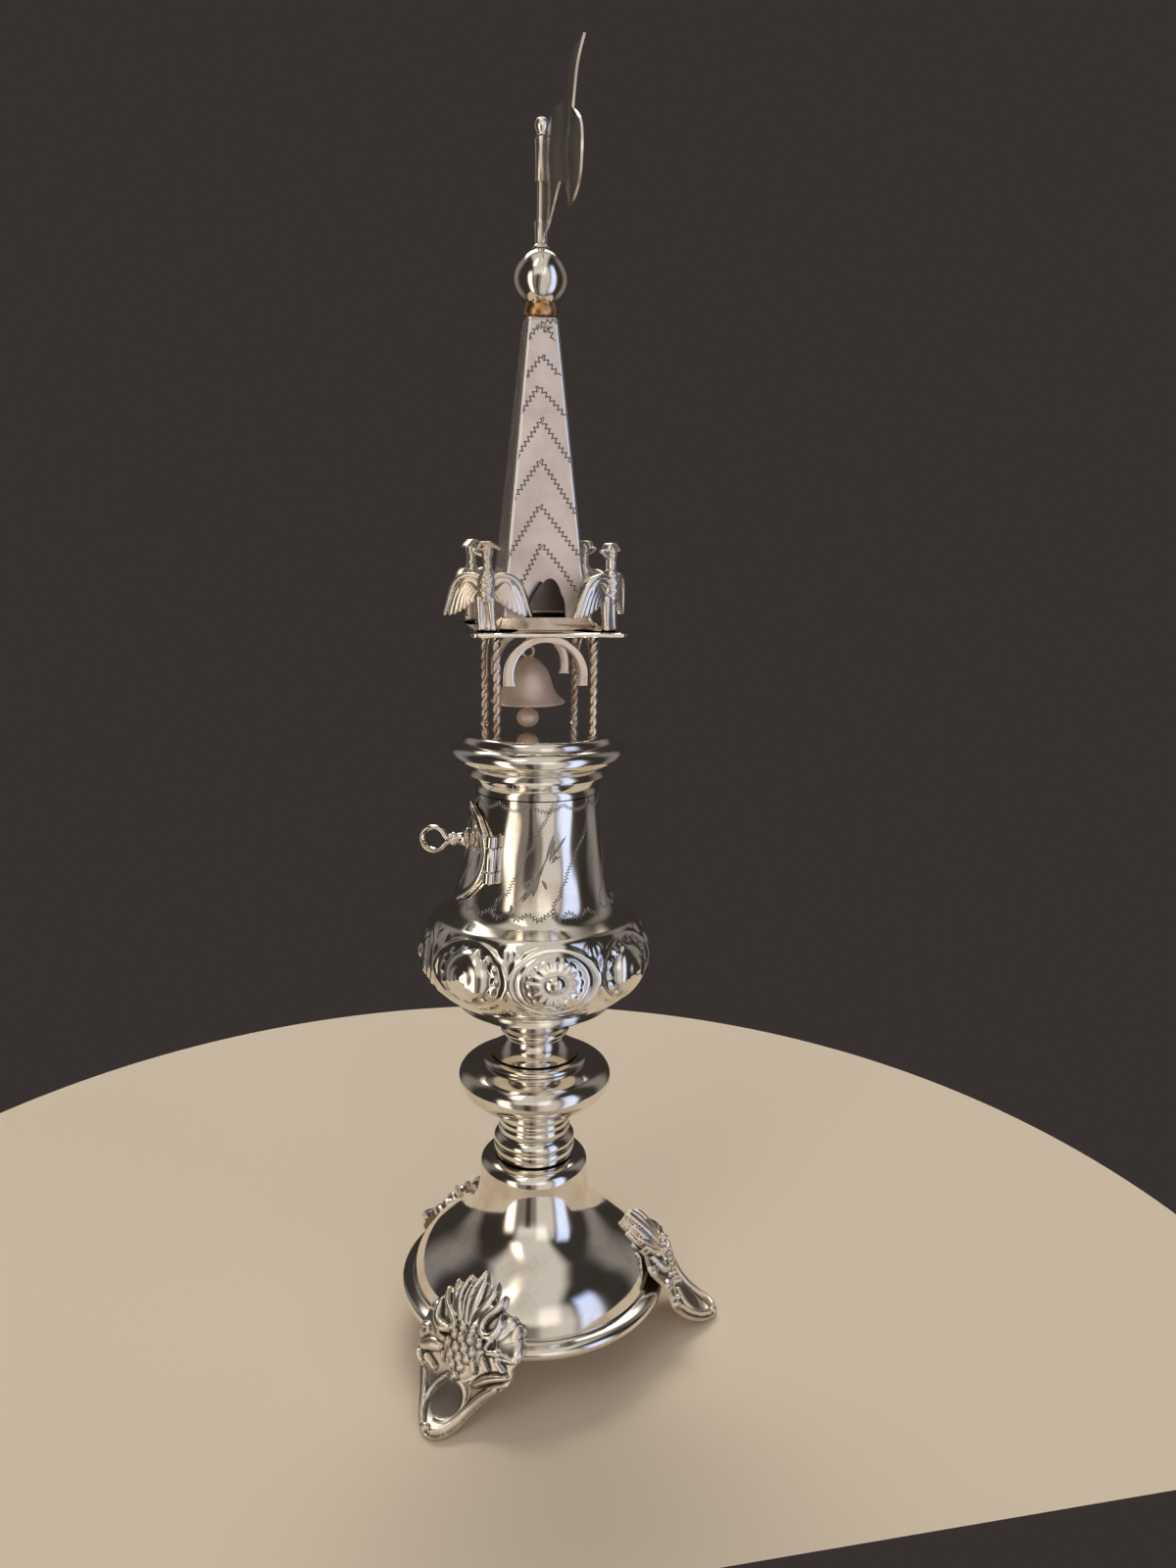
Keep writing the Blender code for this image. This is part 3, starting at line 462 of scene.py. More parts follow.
def traced(across, up, lines):
    """From each point to the nearest of some lines: signed distance, way along it, and that way's share.

    The distance to a straight piece is the offset from the point's foot on it, the foot kept between
    the piece's ends; it is positive on the left of the line's direction.
    """
    nearest = np.full(np.shape(across), 99.0)
    way, share = np.zeros_like(nearest), np.zeros_like(nearest)
    for line in lines:
        line = np.array(line, float)
        run = np.append(0, np.cumsum(np.linalg.norm(np.diff(line, axis=0), axis=1)))
        for start, end, low, high in zip(line[:-1], line[1:], run[:-1], run[1:]):
            step = end - start
            if not step.any():
                continue
            part = np.clip(((across - start[0]) * step[0] + (up - start[1]) * step[1]) / (step @ step), 0, 1)
            aside, above = across - start[0] - part * step[0], up - start[1] - part * step[1]
            off = np.copysign(np.hypot(aside, above), step[0] * above - step[1] * aside)
            closer = np.abs(off) < np.abs(nearest)
            nearest = np.where(closer, off, nearest)
            way = np.where(closer, low + part * (high - low), way)
            share = np.where(closer, (low + part * (high - low)) / run[-1], share)
    return nearest, way, share


# The engraving, as (way round from the front, height): a toothed line in scallops below and festoons
# above, slanting bands between S-shaped toothed lines, and a sprig of bright-cut leaves in the front one.
# A tooth's length, half its depth, and half a stroke's greatest width are in millimetres.
TOOTH, SWING, STROKE = 0.70, 0.36, 0.32
LEFT_EDGE = np.array([
    (1.6, 133.5), (0.6, 131.5), (-0.3, 129.8), (-1.8, 127.8), (-2.7, 126.0), (-3.2, 124.2), (-4.2, 122.8),
    (-5.3, 121.6), (-5.8, 120.0), (-6.2, 118.2), (-7.4, 116.9), (-8.0, 115.3), (-8.4, 113.9), (-9.6, 113.0),
    (-10.8, 112.0), (-11.1, 110.3),
])
RIGHT_EDGE = np.array([
    (12.2, 133.5), (11.3, 130.5), (10.6, 128.0), (9.6, 125.6), (8.2, 124.1), (7.0, 122.6), (6.4, 121.3),
    (5.2, 119.7), (4.3, 118.0), (4.0, 116.5), (2.9, 115.3), (2.6, 113.4), (1.4, 112.3), (0.9, 111.0),
    (1.5, 110.1),
])
SPRIG = [
    [(-7.0, 111.4), (-4.0, 115.0), (-1.4, 119.4), (-0.2, 122.0)],
    [(-5.9, 111.4), (-3.2, 115.4), (-0.7, 120.0)],
    [(-0.5, 120.8), (0.4, 123.6), (1.8, 127.4)], [(0.2, 120.4), (1.3, 123.6), (1.9, 126.0)],
    [(0.6, 121.4), (2.6, 123.9), (4.9, 126.6)], [(0.6, 120.3), (1.8, 121.6), (3.2, 121.9)],
    [(-5.3, 115.7), (-3.9, 116.6), (-2.4, 117.5)], [(-3.3, 113.2), (-2.6, 115.4), (-1.8, 117.6)],
    [(-0.3, 114.9), (-0.7, 116.2), (-1.3, 117.2)], [(-7.6, 111.8), (-7.4, 110.9), (-7.6, 109.8)],
]
sweep = np.arange(-48.0, 48.01, 0.4)
scallops = np.stack([sweep, 109.3 + 0.55 * np.cos(FULL * sweep / 4.0)], 1)
festoons = np.stack([sweep, 131.6 + 1.4 * np.abs(((sweep + 4.0) % 8.0) / 4.0 - 1.0) ** 2], 1)
bands = [edge + (shift, 0) for edge in (LEFT_EDGE, RIGHT_EDGE) for shift in (0.0, 24.0, 45.0)]
round_way = ((turn + 1.5 * math.pi) % FULL - math.pi) * NECK_REACH
off, run, _ = traced(round_way, height, [scallops, festoons, *bands])
# The last two bands run on past the back, where the way round starts again.
wrapped_off, wrapped_run, _ = traced(round_way + 96.1, height, bands[-2:])
off, run = np.where(np.abs(wrapped_off) < np.abs(off), (wrapped_off, wrapped_run), (off, run))
stroke, _, share = traced(round_way, height, SPRIG)
engraving = {
    "off": off / SWING, "away": np.abs(off) / SWING, "run": run / TOOTH, "stroke": np.abs(stroke) / STROKE,
    "share": share,
}

# The belly's rows close together, each pushed along the surface's normal by the chased relief.
belly = evenly(BELLY[BELLY[:, 1] > 85.2], 78)
below = evenly(BELLY[BELLY[:, 1] <= 85.2], 16)
belly_line = np.vstack([belly, below])
run = np.append(0, np.cumsum(np.linalg.norm(np.diff(belly_line, axis=0), axis=1)))
up = np.interp(-MEDALLION_MIDDLE, -belly[:, 1], run[:len(belly)]) - run
belly_angle = np.arange(around) * FULL / around
eighth = FULL / MEDALLIONS
turned_by = (belly_angle + eighth / 2) % eighth - eighth / 2
across = turned_by * BELLY_REACH
between = (belly_angle % eighth - eighth / 2) * BELLY_REACH
is_rosette = (np.round(belly_angle / eighth) % 2 == 0)[None, :]
across, between, up = across[None, :], between[None, :], up[:, None]
relief = np.where(is_rosette, rosette(across, up), domed(across, up)) + palmette(between, up)
relief = blurred(relief * smooth(7.7 - up, 0.3) * smooth(up + 8.2, 0.5), 3)
facing = outward(belly_line)
line = belly_line[:, None, :] + facing[:, None, :] * relief[:, :, None]
radius = np.clip(line[..., 0], 0, None)
belly_skin = np.stack([radius * np.cos(belly_angle), radius * np.sin(belly_angle), line[..., 1]], -1)
inside_line = evenly(BELLY[BELLY[:, 1] > 84.9], 12)[1:] - (SHEET + 0.3, 0)
lining = turned(np.vstack([[neck[-1] - (SHEET, 0)], inside_line, [(0, 82.0)]]), around)

belly_points, belly_faces = gathered(belly_skin, lining)
box_points = np.vstack([neck_skins.reshape(-1, 3), belly_points])
box_faces = np.vstack([closed_skin(keep, seam=True, open_end=True), belly_faces + neck_skins.size // 3])


def over_points(belly_values, neck_values, rest):
    """One number a point of the box: the belly and the neck's outer skin have their own, all others rest."""
    plain = np.full(neck_skins.size // 6, rest)
    return np.concatenate([neck_values.ravel(), plain, belly_values.ravel(), np.full(lining.size // 3, rest)])


plain_belly = np.full(relief.shape, FAR)
marks = {label: over_points(plain_belly, values, FAR) for label, values in engraving.items()}
marks["hollow"] = over_points(np.clip(blurred(relief, 14) - relief, 0, 1), np.zeros(turn.shape), 0.0)

# The same sterling silver, chased and engraved: bright on the raised work, grey-brown left in the
# cuts and round the medallions, where the polishing cloth doesn't reach.
chased = silver("chased_silver", 0.055, 0.13, hollows=0.5, engraved=True)
piece("spice_box", box_points, box_faces, chased, **marks)

# ---------------------------------------------------------------- door, hinge and handle
# An oval door cut to the neck's curve, with a raised bright rim. It turns on a pin through three
# knuckles, and is pulled by a strip bent into a ring on a short stem. All silver.

DOOR_OVAL = (9.7, 11.1)
DOOR_GAP = 0.3


def drawn_to_edge(field, keep, across, up):
    """Corners on the kept area's edge moved down the field's slope onto its zero line, at most 0.7 cell."""
    step_across, step_up = across[0, 1] - across[0, 0], up[1, 0] - up[0, 0]
    slope_up, slope_across = np.gradient(field, step_up, step_across)
    shift = np.where(edge_corners(keep), field / (slope_up ** 2 + slope_across ** 2 + 1e-6), 0)
    limit = 0.7 * abs(step_up)
    move_across, move_up = np.clip(shift * np.array([slope_across, slope_up]), -limit, limit)
    return across - move_across, up - move_up


def flat_grid(across, up, cell):
    """Two arrays over a rectangle: how far across and how far up each corner of the grid is."""
    return np.meshgrid(np.arange(across[0], across[1] + cell, cell), np.arange(up[0], up[1] + cell, cell))


# The hinge's axis leans with the neck; both ends are read from the knuckles that the frame carries.
joint = next(joint for joint in frame["record"]["behaviour"]["joints"] if joint["name"] == "door_hinge")
hinge_middle = (np.array(joint["pos_m"]) - CENTRE) / MM
hinge_axis = np.array(joint["axis"])


def on_hinge(height):
    """The point of the hinge's axis at a height."""
    return hinge_middle + hinge_axis * (height - hinge_middle[2]) / hinge_axis[2]


across, up = flat_grid((-12.0, 12.0), (-12.0, 12.0), 0.18)
oval = (1 - np.hypot(across / DOOR_OVAL[0], up / DOOR_OVAL[1])) * 10.3
hinge_leaf = np.minimum(np.minimum(across + 0.2, 10.7 - across), 2.2 - np.abs(up + DOOR_MIDDLE - 120.9))
field = np.maximum(oval, hinge_leaf)
keep = cells_inside(field)
across, up = drawn_to_edge(field, keep, across, up)
rim = 0.75 * np.where(oval > 0, ridge(oval - 0.65, 0.65), 0)
fuller = 0.12 * cap(np.clip(np.hypot(across / 7.6, up / 8.8), 0, 1), 1.0)
door_turn = math.pi + np.arcsin(np.clip(across / (neck_radius(up + DOOR_MIDDLE) + DOOR_GAP), -1, 1))
door_out = DOOR_GAP + 0.6 + rim + fuller
door_skins = np.stack([on_neck(door_turn, up + DOOR_MIDDLE, out) for out in (door_out, DOOR_GAP)])
chevrons = [
    [(-7.6, low + 10.5), (0.0, low), (7.6, low + 10.5)] for low in (-21.5, -14.9, -8.3, -1.7, 4.9)
]
off, run, _ = traced(across, up, chevrons)
off = np.where(oval > 1.6, off / SWING, FAR)
plain = np.full(off.shape, FAR)
engraving = {"off": off, "away": np.abs(off), "run": run / TOOTH, "stroke": plain, "share": 0 * plain}
marks = {label: np.concatenate([values.ravel(), plain.ravel()]) for label, values in engraving.items()}

# Polished like the neck, with only its chevrons left grey.
engraved_silver = silver("engraved_silver", 0.055, 0.13, engraved=True)
piece("door", door_skins, closed_skin(keep), engraved_silver, body="door", **marks)


def swept(path, section, up=(0.0, 0.0, 1.0), size=None):
    """A section of (side, up) points carried along a path and closed by a point at each end.

    Side and up are square to the path's direction, side level against the given up; size scales the
    section at each point of the path.
    """
    along = np.gradient(path, axis=0)
    along /= np.linalg.norm(along, axis=1, keepdims=True)
    side = np.cross(along, up)
    side /= np.linalg.norm(side, axis=1, keepdims=True)
    lift = np.cross(side, along)
    scale = np.ones(len(path)) if size is None else np.asarray(size)
    rings = path[:, None] + scale[:, None, None] * (
        side[:, None] * section[None, :, :1] + lift[:, None] * section[None, :, 1:])
    ends = [np.repeat(path[i][None, None], len(section), 1) for i in (0, -1)]
    return np.concatenate([ends[0], rings, ends[1]])


def round_section(radius, sides=20):
    """A circle of (side, up) points."""
    turn = np.arange(sides) * FULL / sides
    return np.stack([radius * np.cos(turn), radius * np.sin(turn)], 1)


def soft_oblong(wide, thick, corner=0.2):
    """An oblong section with rounded corners: its corner points smoothed by cutting."""
    w, t, c = wide / 2, thick / 2, corner
    loop = [
        (c - w, -t), (w - c, -t), (w, c - t), (w, t - c), (w - c, t), (c - w, t), (-w, t - c), (-w, c - t),
    ]
    return flowing([loop[-1], *loop, loop[0]], 2)[6:-6]


def bar_on_axis(low, high, line):
    """A turned line of (radius, share of the way from low to high) carried round the hinge's axis."""
    start, end = on_hinge(low), on_hinge(high)
    path = start + (end - start) * line[:, 1:]
    return swept(path, round_section(1.0, 28), up=(1.0, 0.0, 0.0), size=line[:, 0])


KNUCKLE = 1.3
EDGE_SHARE = 0.06
barrel = np.array([
    (KNUCKLE - 0.2, 0.0), (KNUCKLE, EDGE_SHARE), (KNUCKLE, 1 - EDGE_SHARE), (KNUCKLE - 0.2, 1.0),
])
pin = np.array([(0.2, 0.0), (0.45, 0.02), (0.45, 0.98), (0.2, 1.0)])
for name, body, low, high, line in (
    ("hinge_knuckle_bottom", "tower", 115.8, 118.25, barrel),
    ("hinge_knuckle_top", "tower", 123.55, 126.0, barrel),
    ("door_knuckle", "door", 118.4, 123.4, barrel), ("hinge_pin", "tower", 115.5, 126.3, pin),
):
    piece(name, *gathered(bar_on_axis(low, high, line)), polished, body=body)

# The strip's two ends meet at the stem, so its ring is drawn out to a drop there.
RING_MIDDLE = np.array([-22.8, 0.0, 123.2])
turn = np.linspace(-math.pi + 0.1, math.pi - 0.1, 90)
pull = 2.62 + 0.5 * smooth(np.abs(turn) - 2.9, 0.4)
loop = np.stack([-pull * np.cos(turn), 0 * turn, pull * np.sin(turn)], 1)
lean = np.array(Matrix.Rotation(math.radians(-20), 3, "Z") @ Matrix.Rotation(math.radians(4), 3, "Y"))
ring = swept(loop, soft_oblong(1.25, 2.7, 0.4), up=(0.0, 1.0, 0.0)) @ lean.T + RING_MIDDLE
stem = flowing([
    (0, 0.0), (2.6, 0.0), (2.7, 0.2), (2.4, 0.5), (1.8, 0.8), (1.4, 1.4), (1.2, 2.2), (1.25, 2.5), (1.6, 2.8),
    (1.6, 3.4), (1.2, 3.8), (1.1, 4.4), (0, 4.8),
])
stem_start = np.array([-neck_radius(122.9) - DOOR_GAP - 0.55, 0.0, 122.9])
lathe = turned(stem, 32)
stem_points = stem_start + np.stack([-lathe[..., 2], lathe[..., 1], lathe[..., 0]], -1)
piece("door_handle", *gathered(ring, stem_points), polished, body="door")

# ---------------------------------------------------------------- bell stage
# Four posts of two wires twisted together, soldered between the collar and a square plate, and four
# arches cut from sheet, their crowns soldered under the plate's edges.

# Silver left as it was soldered and pickled, rubbed only where hands reach: a soft beige sheen.
worn = silver("worn_silver", 0.20, 0.36, "#f3e8dc", "#cfb8a4", hollows=0.7)

POST = 10.3
FLOOR, PLATE = 146.8, 168.6
CORNERS = {"front_left": (-1, -1), "front_right": (1, -1), "back_right": (1, 1), "back_left": (-1, 1)}
SIDES = {"front": 0, "right": 1, "back": 2, "left": 3}
QUARTER = math.pi / 2
TWISTS, WIRE, WIRE_OUT = 5.0, 0.47, 0.42
lift = np.linspace(0, 1, 120)
for number, (corner, (x, y)) in enumerate(CORNERS.items()):
    strands = []
    for strand in range(2):
        turn = lift * TWISTS * FULL + strand * math.pi + number
        reach = WIRE_OUT * (1 - 0.5 * ridge(lift, 0.03) - 0.5 * ridge(lift - 1, 0.03))
        rising = FLOOR + 0.1 + lift * (PLATE - FLOOR - 0.2)
        path = np.stack([x * POST + reach * np.cos(turn), y * POST + reach * np.sin(turn), rising], 1)
        strands.append(swept(path, round_section(WIRE, 12), up=(0.3, 1.0, 0.0)))
    foot = turned(flowing([(0, 0.5), (0.7, 0.45), (0.95, 0.2), (1.15, 0.0), (1.15, 0.0), (0, 0)]), 12)
    foot = foot + np.array([x * POST, y * POST, FLOOR + 0.03])
    piece("post_" + corner, *gathered(*strands, foot), worn)

ARCH_HALF, ARCH_RISE, LEG_WIDTH, CROWN_WIDTH, LEG_BOTTOM = 9.0, 8.5, 2.2, 1.5, 158.0
SPRING = PLATE - 0.05 - ARCH_RISE


def arch_edge(half, rise, foot):
    """Half an ellipse over two straight legs, as (across, height) points; foot spreads the legs' ends."""
    turn = np.linspace(0, math.pi, 60)[:, None]
    curve = np.hstack([half * np.cos(turn), SPRING + rise * np.sin(turn)])
    leg = np.array([(half + foot, LEG_BOTTOM), (half + 0.3 * foot, LEG_BOTTOM + 0.7)])
    return np.vstack([leg, curve, leg[::-1] * (-1, 1)])


inner = arch_edge(ARCH_HALF - LEG_WIDTH, ARCH_RISE - CROWN_WIDTH, -0.35)
outer = arch_edge(ARCH_HALF, ARCH_RISE, 0.0)
section = soft_oblong(1.0, 0.6, 0.14)
share, depth = section[:, :1] + 0.5, section[:, 1]
strip = inner[:, None] * (1 - share) + outer[:, None] * share
strip = np.stack([strip[..., 0], -POST + depth + 0 * strip[..., 0], strip[..., 1]], -1)
middle = strip.mean(1, keepdims=True)[[0, -1]] + 0 * strip[[0, -1]]
strip = np.concatenate([middle[:1], strip, middle[1:]])


def spun(points, angle):
    """The points turned about the centre line by an angle."""
    return points @ np.array(Matrix.Rotation(angle, 3, "Z")).T


for side, quarter in SIDES.items():
    piece("arch_" + side, *gathered(spun(strip, quarter * QUARTER)), worn)


def slab(outline, line):
    """A flat plate: its outline drawn in by each (inset, height) of a line, whose ends are its middle."""
    ahead, back = np.roll(outline, -1, 0), np.roll(outline, 1, 0)
    along = ahead - back
    along /= np.linalg.norm(along, axis=1, keepdims=True)
    inside = np.stack([-along[:, 1], along[:, 0]], 1)
    rows = [
        np.column_stack([outline + inside * inset, np.full(len(outline), height)]) for inset, height in line
    ]
    rows[0][:, :2] = rows[-1][:, :2] = outline.mean(0)
    return np.array(rows)


def rounded_square(half, corner, count=24):
    """A square's outline with each corner an arc of the given radius."""
    turn = np.linspace(0, QUARTER, count)
    arc = (half - corner) + corner * np.stack([np.cos(turn), np.sin(turn)], 1)
    spins = [np.array(Matrix.Rotation(quarter * QUARTER, 2)) for quarter in range(4)]
    return np.vstack([arc @ spin.T for spin in spins])


plate_line = [
    (8.0, 0.0), (8.0, 0.0), (0.25, 0.0), (0.05, 0.15), (0.0, 0.4), (0.05, 0.65), (0.25, 0.8), (8.0, 0.8),
    (8.0, 0.8),
]
plate = slab(rounded_square(16.2, 1.6), plate_line) + (0, 0, PLATE)
piece("plate", *gathered(plate), polished)

# ---------------------------------------------------------------- bell
# A little turned bell with a ball clapper on a wire, hung by a wire hook. Its silver was never
# polished again, so it is dull and rosy.

# Unpolished sterling under a thin matt tarnish: less of a metal's shine, in clouds of about 6 mm, with
# faint pits 0.3 mm apart.
dull_silver, tree, shader = blank_metal("dull_bell_silver")
add = partial(node, tree)
shader.inputs["Metallic"].default_value = 0.55
place = add("TexCoord", out="Object")
cloud = add("TexNoise", {"Vector": place, "Scale": 160.0, "Detail": 6.0, "Roughness": 0.65})
tint = add("Mix", {0: cloud, 6: colour("#e8cfbf"), 7: colour("#ffeee0")}, **MIXED)
dull = add("MapRange", [cloud, 0.3, 0.7, 0.45, 0.6])
grain = add("TexNoise", {"Vector": place, "Scale": 3000.0, "Detail": 2.0})
pitted = add("Bump", {"Height": grain, "Strength": 0.2, "Distance": 0.0001})
tree.links.new(tint, shader.inputs["Base Color"])
tree.links.new(dull, shader.inputs["Roughness"])
tree.links.new(pitted, shader.inputs["Normal"])

BELL_AT = (middle_of("bell") - CENTRE) / MM
bell_line = np.vstack([
    flowing([
        (0, 163.1), (0.9, 163.0), (2.2, 162.3), (3.4, 161.2), (4.4, 159.8), (5.0, 158.2), (5.45, 156.6),
        (6.1, 155.2), (7.0, 154.1), (7.9, 153.5), (8.15, 153.2), (8.15, 153.2), (7.9, 153.0),
    ]),
    flowing([
        (7.4, 153.2), (6.4, 154.1), (5.3, 155.6), (4.7, 157.4), (3.8, 159.6), (2.2, 161.5), (0, 162.3),
    ], 2),
])
piece("bell", *gathered(turned(bell_line, 64) + BELL_AT), dull_silver, "bell_metal")
ball = np.linspace(0, math.pi, 22)[:-1]
clapper_line = np.vstack([
    np.stack([2.45 * np.sin(ball), 149.6 - 2.15 * np.cos(ball)], 1),
    [(0.45, 151.9), (0.4, 156.0), (0.4, 161.8), (0, 161.9)],
])
piece("clapper", *gathered(turned(clapper_line, 40) + BELL_AT), dull_silver, "bell_metal")
turn = np.linspace(0.2, FULL - 0.2, 40)
eye_loop = np.stack([1.2 * np.sin(turn), 0 * turn, 164.1 - 1.2 * np.cos(turn)], 1)
sway = np.linspace(0, 1, 50)
hook = np.stack([0 * sway, 0.9 * np.sin(sway * math.pi * 1.3), 164.9 + sway * (PLATE - 165.0)], 1)
hook_parts = [
    swept(eye_loop, round_section(0.3, 12), (0, 1, 0)) + BELL_AT,
    swept(hook, round_section(0.32, 12), (1, 0, 0)) + BELL_AT,
]
piece("bell_hook", *gathered(*hook_parts), dull_silver)

# ---------------------------------------------------------------- spire
# A tall four-sided spire folded from sheet and left satin, its corners rubbed bright, engraved on every
# face with toothed chevrons. An arched gate is cut in the front. Four tabs of its foot are folded out
# and soldered to the plate.

SPIRE_LOW, SPIRE_HIGH = 172.2, 232.0
FOOT_HALF, HEAD_HALF = 9.2, 3.25
WALL, BEVEL = 0.6, 0.85
flat = np.concatenate([[-1.0, -0.99], np.linspace(-0.95, 0.95, 33), [0.99, 1.0]])
bend = np.linspace(-QUARTER, 0, 7)[1:-1]
heights = np.concatenate([np.linspace(SPIRE_LOW, 182.2, 38), np.linspace(182.2, SPIRE_HIGH - 0.3, 74)[1:]])
half = np.interp(heights, (SPIRE_LOW, SPIRE_HIGH), (FOOT_HALF, HEAD_HALF))[:, None]
flat_across, flat_out = flat * (half - BEVEL), half + 0 * flat
bend_across, bend_out = half - BEVEL + BEVEL * np.cos(bend), half - BEVEL - BEVEL * np.sin(bend)
side_across, side_out = np.hstack([flat_across, bend_across]), np.hstack([flat_out, bend_out])

# The gate's outline about its middle, as the distance to it in each direction.
GATE_MIDDLE = SPIRE_LOW + 3.6
gate_line = np.array([
    (4.3, -6.0), (4.25, -1.9), (4.1, 0.0), (3.4, 1.1), (3.1, 2.4), (2.2, 3.9), (1.2, 4.4), (0.2, 4.1),
    (-0.8, 3.0), (-1.9, 1.4), (-2.8, -0.3), (-3.2, -1.9), (-3.5, -3.6), (-3.6, -6.0),
])
gate_line = evenly(flowing(gate_line, 2), 200)
gate_turn, gate_reach = np.arctan2(gate_line[:, 1], gate_line[:, 0]), np.hypot(*gate_line.T)
order = np.argsort(gate_turn)
above_gate = heights[:, None] - GATE_MIDDLE + 0 * side_across
reach = np.interp(np.arctan2(above_gate, side_across), gate_turn[order], gate_reach[order])
gate_share = np.hypot(side_across, above_gate) / reach
gate_share[:, len(flat):] = FAR
# Left of the gate the sheet is bent in towards its edge.
tucked = 1.3 * np.clip(1 - (gate_share - 1) * reach / 1.5, 0, 1) ** 2 * (side_across < 0) * (above_gate < 3.6)

share = np.hstack([gate_share] + [np.full(side_across.shape, FAR)] * 3)
keep = cells_inside(np.hstack([share, share[:, :1]]) - 1)
front = edge_corners(keep, outside=False)[:, :side_across.shape[1]]
moved_up = np.where(front, GATE_MIDDLE + above_gate / gate_share, above_gate + GATE_MIDDLE)
moved_up[0] = SPIRE_LOW
moved_across = np.where(front, side_across / gate_share, side_across)


def spire_skin(inset, top):
    """The four sides as one grid round the spire, an inset inside its face, closed to a point at the top."""
    columns = []
    for quarter in range(4):
        across = moved_across if quarter == 0 else side_across
        up = moved_up if quarter == 0 else above_gate + GATE_MIDDLE
        lean = np.interp(up, (SPIRE_LOW, SPIRE_HIGH), (FOOT_HALF, HEAD_HALF)) - half
        out = side_out + lean
        tuck = tucked if quarter == 0 else 0.0
        middle_across = np.clip(across, -(half - BEVEL), half - BEVEL)
        middle_out = np.minimum(out, half - BEVEL + lean)
        reach = np.maximum(np.hypot(across - middle_across, out - middle_out), 1e-6)
        shorter = np.maximum(reach - inset, 0) / reach
        extra = np.maximum(inset - reach, 0)
        across = middle_across + (across - middle_across) * shorter
        out = middle_out + (out - middle_out) * shorter - extra
        columns.append(spun(np.stack([across, tuck - out, up], -1), quarter * QUARTER))
    grid = np.concatenate([*columns, columns[0][:, :1]], 1)
    last = grid[-1:]
    shrunk = (last - (0, 0, last[..., 2:].mean())) * (0.9, 0.9, 0) + (0, 0, top)
    return np.concatenate([grid, shrunk, shrunk * (0, 0, 1)], 0)


skins = np.stack([spire_skin(0.0, SPIRE_HIGH), spire_skin(WALL, SPIRE_HIGH - WALL)])
keep = np.vstack([keep, np.ones((2, keep.shape[1]), bool)])
face_across = np.hstack([side_across] * 4 + [side_across[:, :1]])
face_up = np.hstack([above_gate + GATE_MIDDLE] * 4 + [above_gate[:, :1] + GATE_MIDDLE])
chevrons = [
    [(-6.0, 177.0), (-0.7, 187.1), (3.6, 182.0), (6.6, 177.6)], [(-7.3, 185.0), (-0.9, 194.9), (7.2, 184.8)],
    [(-6.9, 195.3), (-0.7, 203.9), (6.5, 193.4)], [(-6.0, 203.9), (-0.5, 211.8), (5.3, 203.9)],
    [(-4.9, 212.8), (-1.0, 218.3), (4.1, 213.2)], [(-3.2, 220.6), (-0.2, 224.4), (3.1, 220.8)],
    [(-2.8, 227.9), (-1.7, 229.3), (-0.8, 230.2), (0.3, 229.3), (1.2, 229.5), (2.0, 227.9)],
    [(-1.6, 229.7), (0.4, 230.9), (2.7, 231.2)],
]
off, run, _ = traced(face_across, face_up, chevrons)
on_bend = np.arange(side_across.shape[1]) >= len(flat)
on_bend |= np.isin(np.arange(side_across.shape[1]), (0, len(flat) - 1))
edge = np.append(np.tile(on_bend, 4), on_bend[0]) * np.ones((len(heights) + 2, 1))


def both_skins(values, rest=FAR):
    """Values for the outer skin's rows of sheet, and a plain number for its cap and the whole inner skin."""
    shown = np.vstack([values, np.full((2, values.shape[1]), rest)])
    return np.concatenate([shown.ravel(), np.full(shown.size, rest)])


# Sterling left matt from the pickle: an even grey-rose satin, with bright rubbed corners.
satin = silver("satin_silver", 0.34, 0.44, "#ddd3d1", "#ccc0bc", engraved=True, edges=True)
SPIRE_TOOTH, SPIRE_SWING = 1.15, 0.4
piece(
    "spire", skins, closed_skin(keep, seam=True, open_end=True), satin, "satin_silver", sharp=50,
    off=both_skins(off / SPIRE_SWING), away=both_skins(np.abs(off) / SPIRE_SWING),
    run=both_skins(run / SPIRE_TOOTH), stroke=both_skins(0 * off + FAR), share=both_skins(0 * off, 0.0),
    edge=np.concatenate([edge.ravel(), 0 * edge.ravel()]),
)

tab_outline = evenly(flowing([
    (0, 0), (9.0, 0.0), (12.4, 0.0), (12.4, 0.0), (10.8, 1.5), (9.0, 2.9), (9.0, 2.9), (0, 2.9), (-8.4, 2.9),
    (-9.9, 2.6), (-10.7, 1.6), (-10.5, 0.5), (-9.4, 0.0), (0, 0),
], 2), 160)[:-1]
tab = slab(tab_outline, [
    (1.0, 0.0), (1.0, 0.0), (0.12, 0.0), (0.0, 0.12), (0.0, 0.45), (0.12, 0.6), (1.0, 0.6), (1.0, 0.6),
])
TAB_LOW, TAB_HIGH = np.array([10.75, 169.75]), np.array([9.25, 172.15])
down = (TAB_HIGH - TAB_LOW) / np.linalg.norm(TAB_HIGH - TAB_LOW)
tabs = []
for quarter in range(4):
    out = TAB_LOW[0] + tab[..., 1] * down[0] + (tab[..., 2] - 0.6) * down[1]
    lift = TAB_LOW[1] + tab[..., 1] * down[1] - (tab[..., 2] - 0.6) * down[0]
    tabs.append(spun(np.stack([tab[..., 0], -out, lift], -1), quarter * QUARTER))
piece("spire_skirt", *gathered(*tabs), worn, "satin_silver")

# ---------------------------------------------------------------- ball and rod
# A hollow ball, a little dented, sits in a ring of brass solder on the spire's head. A rod stands in
# its flared foot on the ball and ends in a small knob.

